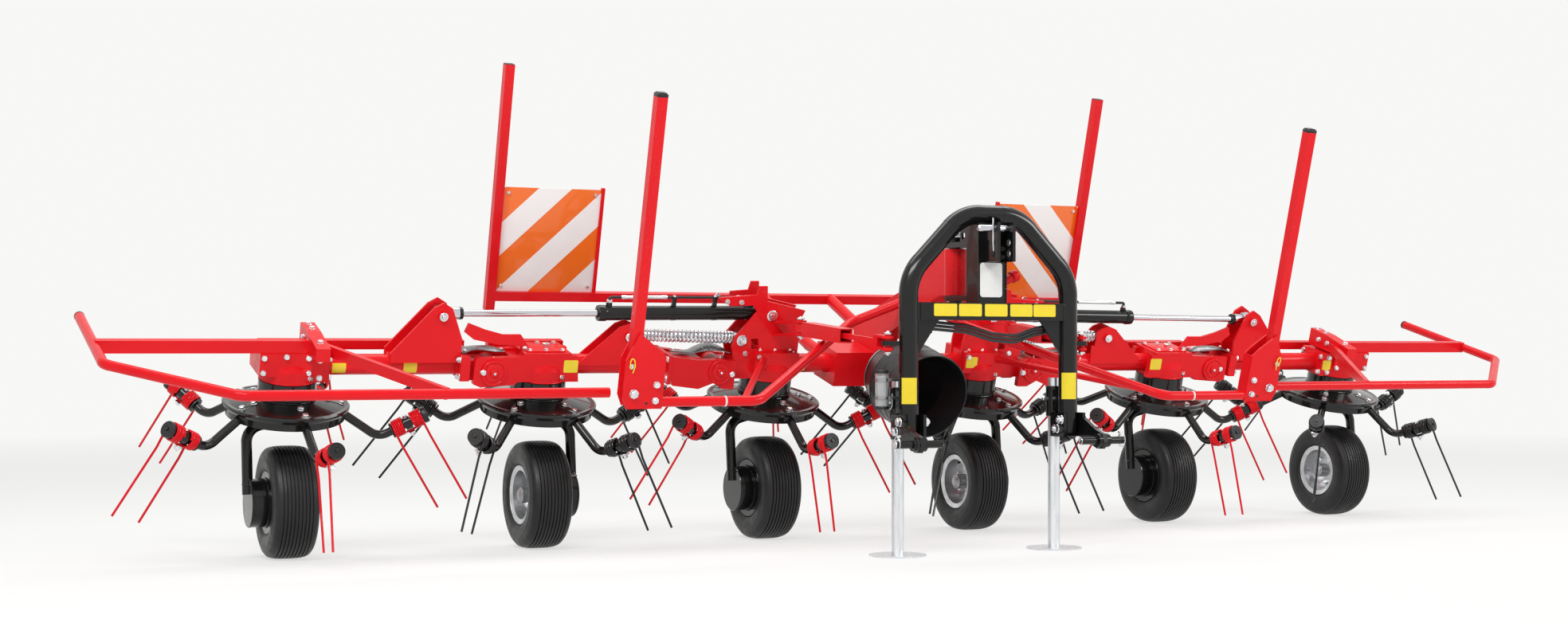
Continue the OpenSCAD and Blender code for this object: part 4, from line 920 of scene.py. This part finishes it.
# Labels on the beams and gearboxes
for s, side in SIDES:
    f = in_lean(s)
    inner, outer, post = "inner_wing_" + side, "outer_wing_" + side, "front_post_" + side
    beam = f @ move(0, ROTOR_BACK, BEAM_Z) @ turn(90, "Y")
    if side == "left":
        for body, x in ((outer, 2.189), (outer, 1.927), ("centre", 0.348)):
            label_round(body, "yellow_labels", beam @ move(0, 0, x), 0.038, -82, 30, 0.050)
    else:
        label(outer, "yellow_labels", f @ toward((2.262, 0.080, 0.682), FRONT), 0.046, 0.044)
        label("centre", "yellow_labels", f @ toward((0.412, 0.069, 0.703), FRONT), 0.052, 0.046)
    label(inner, "yellow_labels", f @ toward((1.326, 0.068, 0.693), FRONT), 0.056, 0.048)
    # Guards: clamp bolts, post bolts, the post's pin with its yellow clip, and a white tie on the tube
    for y, z, n in ((0.205, 0.8162, (0, -0.046, 1)), (0.150, 0.8136, (0, -0.046, 1)),
                    (0.015, 0.7975, (0, -0.136, 0.99))):
        screw(outer, f, (2.287, y, z), n, y * 8, 0.011)
    for y, z in ((0.100, 0.778), (0.160, 0.780)):
        screw(outer, f, (2.262, y, z), (-1, 0, 0), y * 5, 0.011)
        screw(outer, f, (2.312, y, z), OUTWARD, y * 5, 0.011)
    for x, z, d in ((1.358, 0.800, 0.016), (1.276, 0.832, 0.012), (1.276, 0.775, 0.012)):
        screw("centre", f, (x, -0.650, z), FRONT, z * 6, d)
        screw("centre", f, (x, -0.594, z), -FRONT, z * 6, d, nut=True)
    pin_head("centre", f, (1.376, -0.650, 0.898), FRONT, 0.010)
    rod("centre", "yellow_labels", f, 0.0020, 7, 0.008, (1.372, -0.657, 0.876), (1.366, -0.659, 0.900),
        (1.370, -0.660, 0.922), (1.380, -0.660, 0.930), (1.385, -0.659, 0.916), (1.381, -0.657, 0.890))
    ringed("centre", "white_labels", f @ facing((1.004, -0.632, 0.765), OUTWARD), 36,
           (17.8, -3.5), (19.2, -3.5), (19.2, 3.5), (17.8, 3.5))
    # Screws at the corners of the warning board
    for x in (0.974, 1.348):
        for z in (BOARD_Z[0] + 0.023, BOARD_Z[1] - 0.023):
            screw("centre", f, (x, 0.902, z), FRONT, x, 0.007)
    # Plugs in the ends of the posts and guard tubes
    block("centre", "caps", f, (0.0370, 0.0370, 0.005), (SIGN_POST_X, 0.905, 1.7000), 0.0015)
    block(post, "caps", f, (0.0395, 0.0395, 0.012), (1.358, -0.622, 1.8305), 0.002)
    block(post, "caps", f, (0.032, 0.032, 0.006), (1.358, -0.622, 1.8375), 0.002)
    for z in (0.775, 0.812):
        screw(post, f, (1.377, -0.622, z + 0.02), OUTWARD, z, 0.008)
    for body, point, direction in (("centre", (1.313, -0.632, 0.765), OUTWARD),
                                   (outer, (3.040, 0.490, 0.765), (0, 1, 0))):
        turned(body, "caps", f @ facing(point, direction), 32, (0, -10), (18.6, -10), (18.6, -0.5), (0, -0.5))
    # Welds of guards, brackets and beams
    weld_line("centre", "welds_red", f, (1.256, -0.636, 0.784), (1.256, -0.606, 0.784), 0.003)
    for x0, x1, z in ((0.445, 0.560, 0.7625), (0.508, 0.556, 0.719)):
        for y in (0.108, 0.182):
            weld_line("centre", "welds_red", f, (x0, y, z), (x1, y, z), 0.0025)
    weld_line(outer, "welds_red", f, (1.750, 0.104, 0.724), (1.995, 0.104, 0.724), 0.0028)
    weld(inner, "welds_red", beam @ move(0, 0, 0.9305), 0.038, 0.0035, 60)
    weld(outer, "welds_red", beam @ move(0, 0, 1.7525), 0.038, 0.0035, 60)

# Drive guard: rolled beads, and the splines and groove of the input shaft
drive = LEANING @ move(0, 0.0037, BEAM_Z) @ turn(90, "X")
for z in (150, 205, 262):
    ringed("centre", "caps", drive, 96, (164, z - 6), (166, z - 4), (166.8, z), (166, z + 4), (164, z + 6),
           (164, z))
ringed("centre", "caps", drive, 96, (159.5, 324), (159, 330), (160.5, 333.5), (164.5, 333.5), (166.5, 330),
       (166, 324), (164, 322))
ringed("centre", "steel_trim", drive, 72, (119, 12), (122.5, 14), (124.5, 22), (123.5, 24), (118, 18))
for n in range(6):
    block("drive_shaft", "steel_trim", drive @ turn(60 * n, "Z"), (0.0050, 0.0090, 0.072), (0.0182, 0, 0.073),
          0.0008)
for n in range(8):
    a = math.radians(45 * n + 20)
    screw("centre", drive, polar(0.090, a / math.tau, 0.0052), UP, a, 0.010)


# Hinge covers: thin bent steel over the fold, left on no body

def leaf(profile, first, last, bulge, t=0.003):
    """Cover over a hinge; first and last give the middle and half width at its two ends."""
    verts, faces = [], []
    smooth = bend([Vector((x, 0, z)) for x, z in profile], 0.06, 6)
    rows = 12
    x0, x1 = smooth[0].x, smooth[-1].x
    for q in smooth:
        share = (q.x - x0) / (x1 - x0)
        arch = max(0.0, math.sin(math.pi * share))
        middle = first[0] + (last[0] - first[0]) * share
        half = first[1] + (last[1] - first[1]) * share + bulge * arch
        for n in range(rows + 1):
            v = 2 * n / rows - 1
            z = q.z - 0.007 * v * v * arch + 0.004 * v * math.sin(2 * math.pi * share)
            verts.append((q.x, middle + half * v, z))
    m = len(verts)
    verts += [(x, y, z - t) for x, y, z in verts]
    w = rows + 1
    for k in range(len(smooth) - 1):
        for n in range(rows):
            a = k * w + n
            faces += [(a, a + 1, a + w + 1, a + w), (m + a, m + a + w, m + a + w + 1, m + a + 1)]
        a, b = k * w, k * w + rows
        faces += [(a, a + w, m + a + w, m + a), (b, m + b, m + b + w, b + w)]
    end = (len(smooth) - 1) * w
    for n in range(rows):
        faces += [(n, m + n, m + n + 1, n + 1), (end + n, end + n + 1, m + end + n + 1, m + end + n)]
    return verts, faces


# Profiles of the covers along X and Z
INNER_COVER = ((0.664, 0.7370), (0.690, 0.7500), (0.725, 0.7575), (0.760, 0.7565), (0.790, 0.7480),
               (0.815, 0.7380), (0.850, 0.7350), (0.897, 0.7335))
OUTER_COVER = ((1.560, 0.7290), (1.600, 0.7420), (1.640, 0.7500), (1.680, 0.7520), (1.710, 0.7470),
               (1.738, 0.7370))
for s, side in SIDES:
    f = in_lean(s)
    inner, outer = "inner_wing_" + side, "outer_wing_" + side
    for name, a, b, x0, x1, shape in (
            ("inner_cover_", "centre", inner, 0.676, 0.757,
             (INNER_COVER, (0.137, 0.038), (0.148, 0.013), 0.014)),
            ("outer_cover_", inner, outer, 1.600, 1.650,
             (OUTER_COVER, (0.160, 0.014), (0.140, 0.042), 0.005))):
        flap = Builder()
        flap.put(*leaf(*shape), f)
        cover = flap.finish(name + side, COVER, None, "guard_plastic", 50)
        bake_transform(cover)
    for body, x, y, z, tilt in ((inner, 0.886, 0.148, 0.7345, 0), (outer, 1.728, 0.112, 0.742, -0.38),
                                (outer, 1.728, 0.168, 0.742, -0.38), (inner, 1.572, 0.160, 0.734, 0.38)):
        screw(body, f, (x, y, z), (-tilt, 0, 1), x * 9, 0.007)

# Camera, light, floor
PHOTO_W, PHOTO_H = 1968, 787
FOCAL_PX, HORIZON_ROW = 2673.7, 437.87
scene = bpy.context.scene
scene.view_settings.view_transform = "Standard"
camera_data = bpy.data.cameras.new("camera")
camera = bpy.data.objects.new("camera", camera_data)
scene.collection.objects.link(camera)
camera.location = (-4.0527, -7.6653 + Y_SHIFT, 0.752)
camera.rotation_euler = (math.radians(90), 0, math.radians(-25.582))
camera_data.sensor_width = 36.0
camera_data.lens = 36.0 * FOCAL_PX / PHOTO_W
camera_data.shift_y = (HORIZON_ROW - PHOTO_H / 2) / PHOTO_W
camera_data.clip_end = 200
scene.camera = camera


def area_light(name, position, target, size, power):
    data = bpy.data.lights.new(name, "AREA")
    data.shape = "RECTANGLE"
    data.size, data.size_y = size
    data.energy = power
    obj = bpy.data.objects.new(name, data)
    scene.collection.objects.link(obj)
    obj.location = position
    obj.rotation_euler = (Vector(target) - Vector(position)).to_track_quat("-Z", "Y").to_euler()


area_light("key", (-5.0, -5.5, 6.5), (0, 0, 0.5), (6, 2.2), 490)
area_light("fill", (6.0, -5.0, 4.0), (0, 0, 0.6), (4, 1.6), 215)
area_light("top", (0, 1.5, 6.5), (0, 0, 0.6), (9, 2.5), 265)

BACKDROP = (0.935, 0.935, 0.92)


def pale_surface(name, shade, lit_share, glow):
    """Matte pale floor that shows near white to the camera and to reflections, and keeps a soft shadow."""
    m, nt, bsdf, at = node_material(name)
    rays = add(nt, "LightPath").outputs
    seen = math_node(nt, "MAXIMUM", rays["Is Camera Ray"], rays["Is Glossy Ray"])
    cloud = ramp(nt, noise(nt, at, 0.7, 3, 0.5), 0.2, tuple(c * 0.99 for c in shade), 0.8, shade)
    feed(nt, bsdf, {"Base Color": mix_colour(nt, seen, cloud, tuple(c * lit_share for c in shade)),
                    "Roughness": 0.9, "Specular IOR Level": 0.0, "Emission Color": (*shade, 1),
                    "Emission Strength": math_node(nt, "MULTIPLY", seen, glow)})
    # Away from the machine the floor fades into the backdrop
    away = add(nt, "VectorMath", {0: at}, operation="LENGTH").outputs["Value"]
    backdrop = add(nt, "Emission", {"Color": (*BACKDROP, 1)})
    blend = add(nt, "MixShader", {"Fac": map_range(nt, away, 4.0, 12.0, 0.0, 1.0),
                                            1: bsdf.outputs["BSDF"], 2: backdrop.outputs["Emission"]})
    feed(nt, nt.nodes["Material Output"], {"Surface": blend.outputs["Shader"]})
    return m


floor_mesh = bpy.data.meshes.new("floor")
floor_mesh.from_pydata([(-40, -40, 0), (40, -40, 0), (40, 40, 0), (-40, 40, 0)], [], [(0, 1, 2, 3)])
floor_mesh.materials.append(pale_surface("pale_floor", (0.92, 0.92, 0.91), 0.36, 0.69))
floor = bpy.data.objects.new("floor", floor_mesh)
scene.collection.objects.link(floor)
floor.location = (0, 0, -0.0005)

# The world shows white to the camera, to metal and to glass, and lights the object with less
world = bpy.data.worlds.new("world")
scene.world = world
world.use_nodes = True
wt = world.node_tree
background = wt.nodes["Background"]
rays = add(wt, "LightPath").outputs
mirrored = math_node(wt, "MAXIMUM", rays["Is Transmission Ray"], rays["Is Glossy Ray"])
shown = math_node(wt, "MAXIMUM", rays["Is Camera Ray"], mirrored)
feed(wt, background, {"Color": (*BACKDROP, 1), "Strength": map_range(wt, shown, 0.0, 1.0, 0.24, 1.0)})

for (body, kind), builder in GROUPS.items():
    look, slot = KINDS[kind]
    builder.finish(f"{kind}_{body}", look, body, slot)
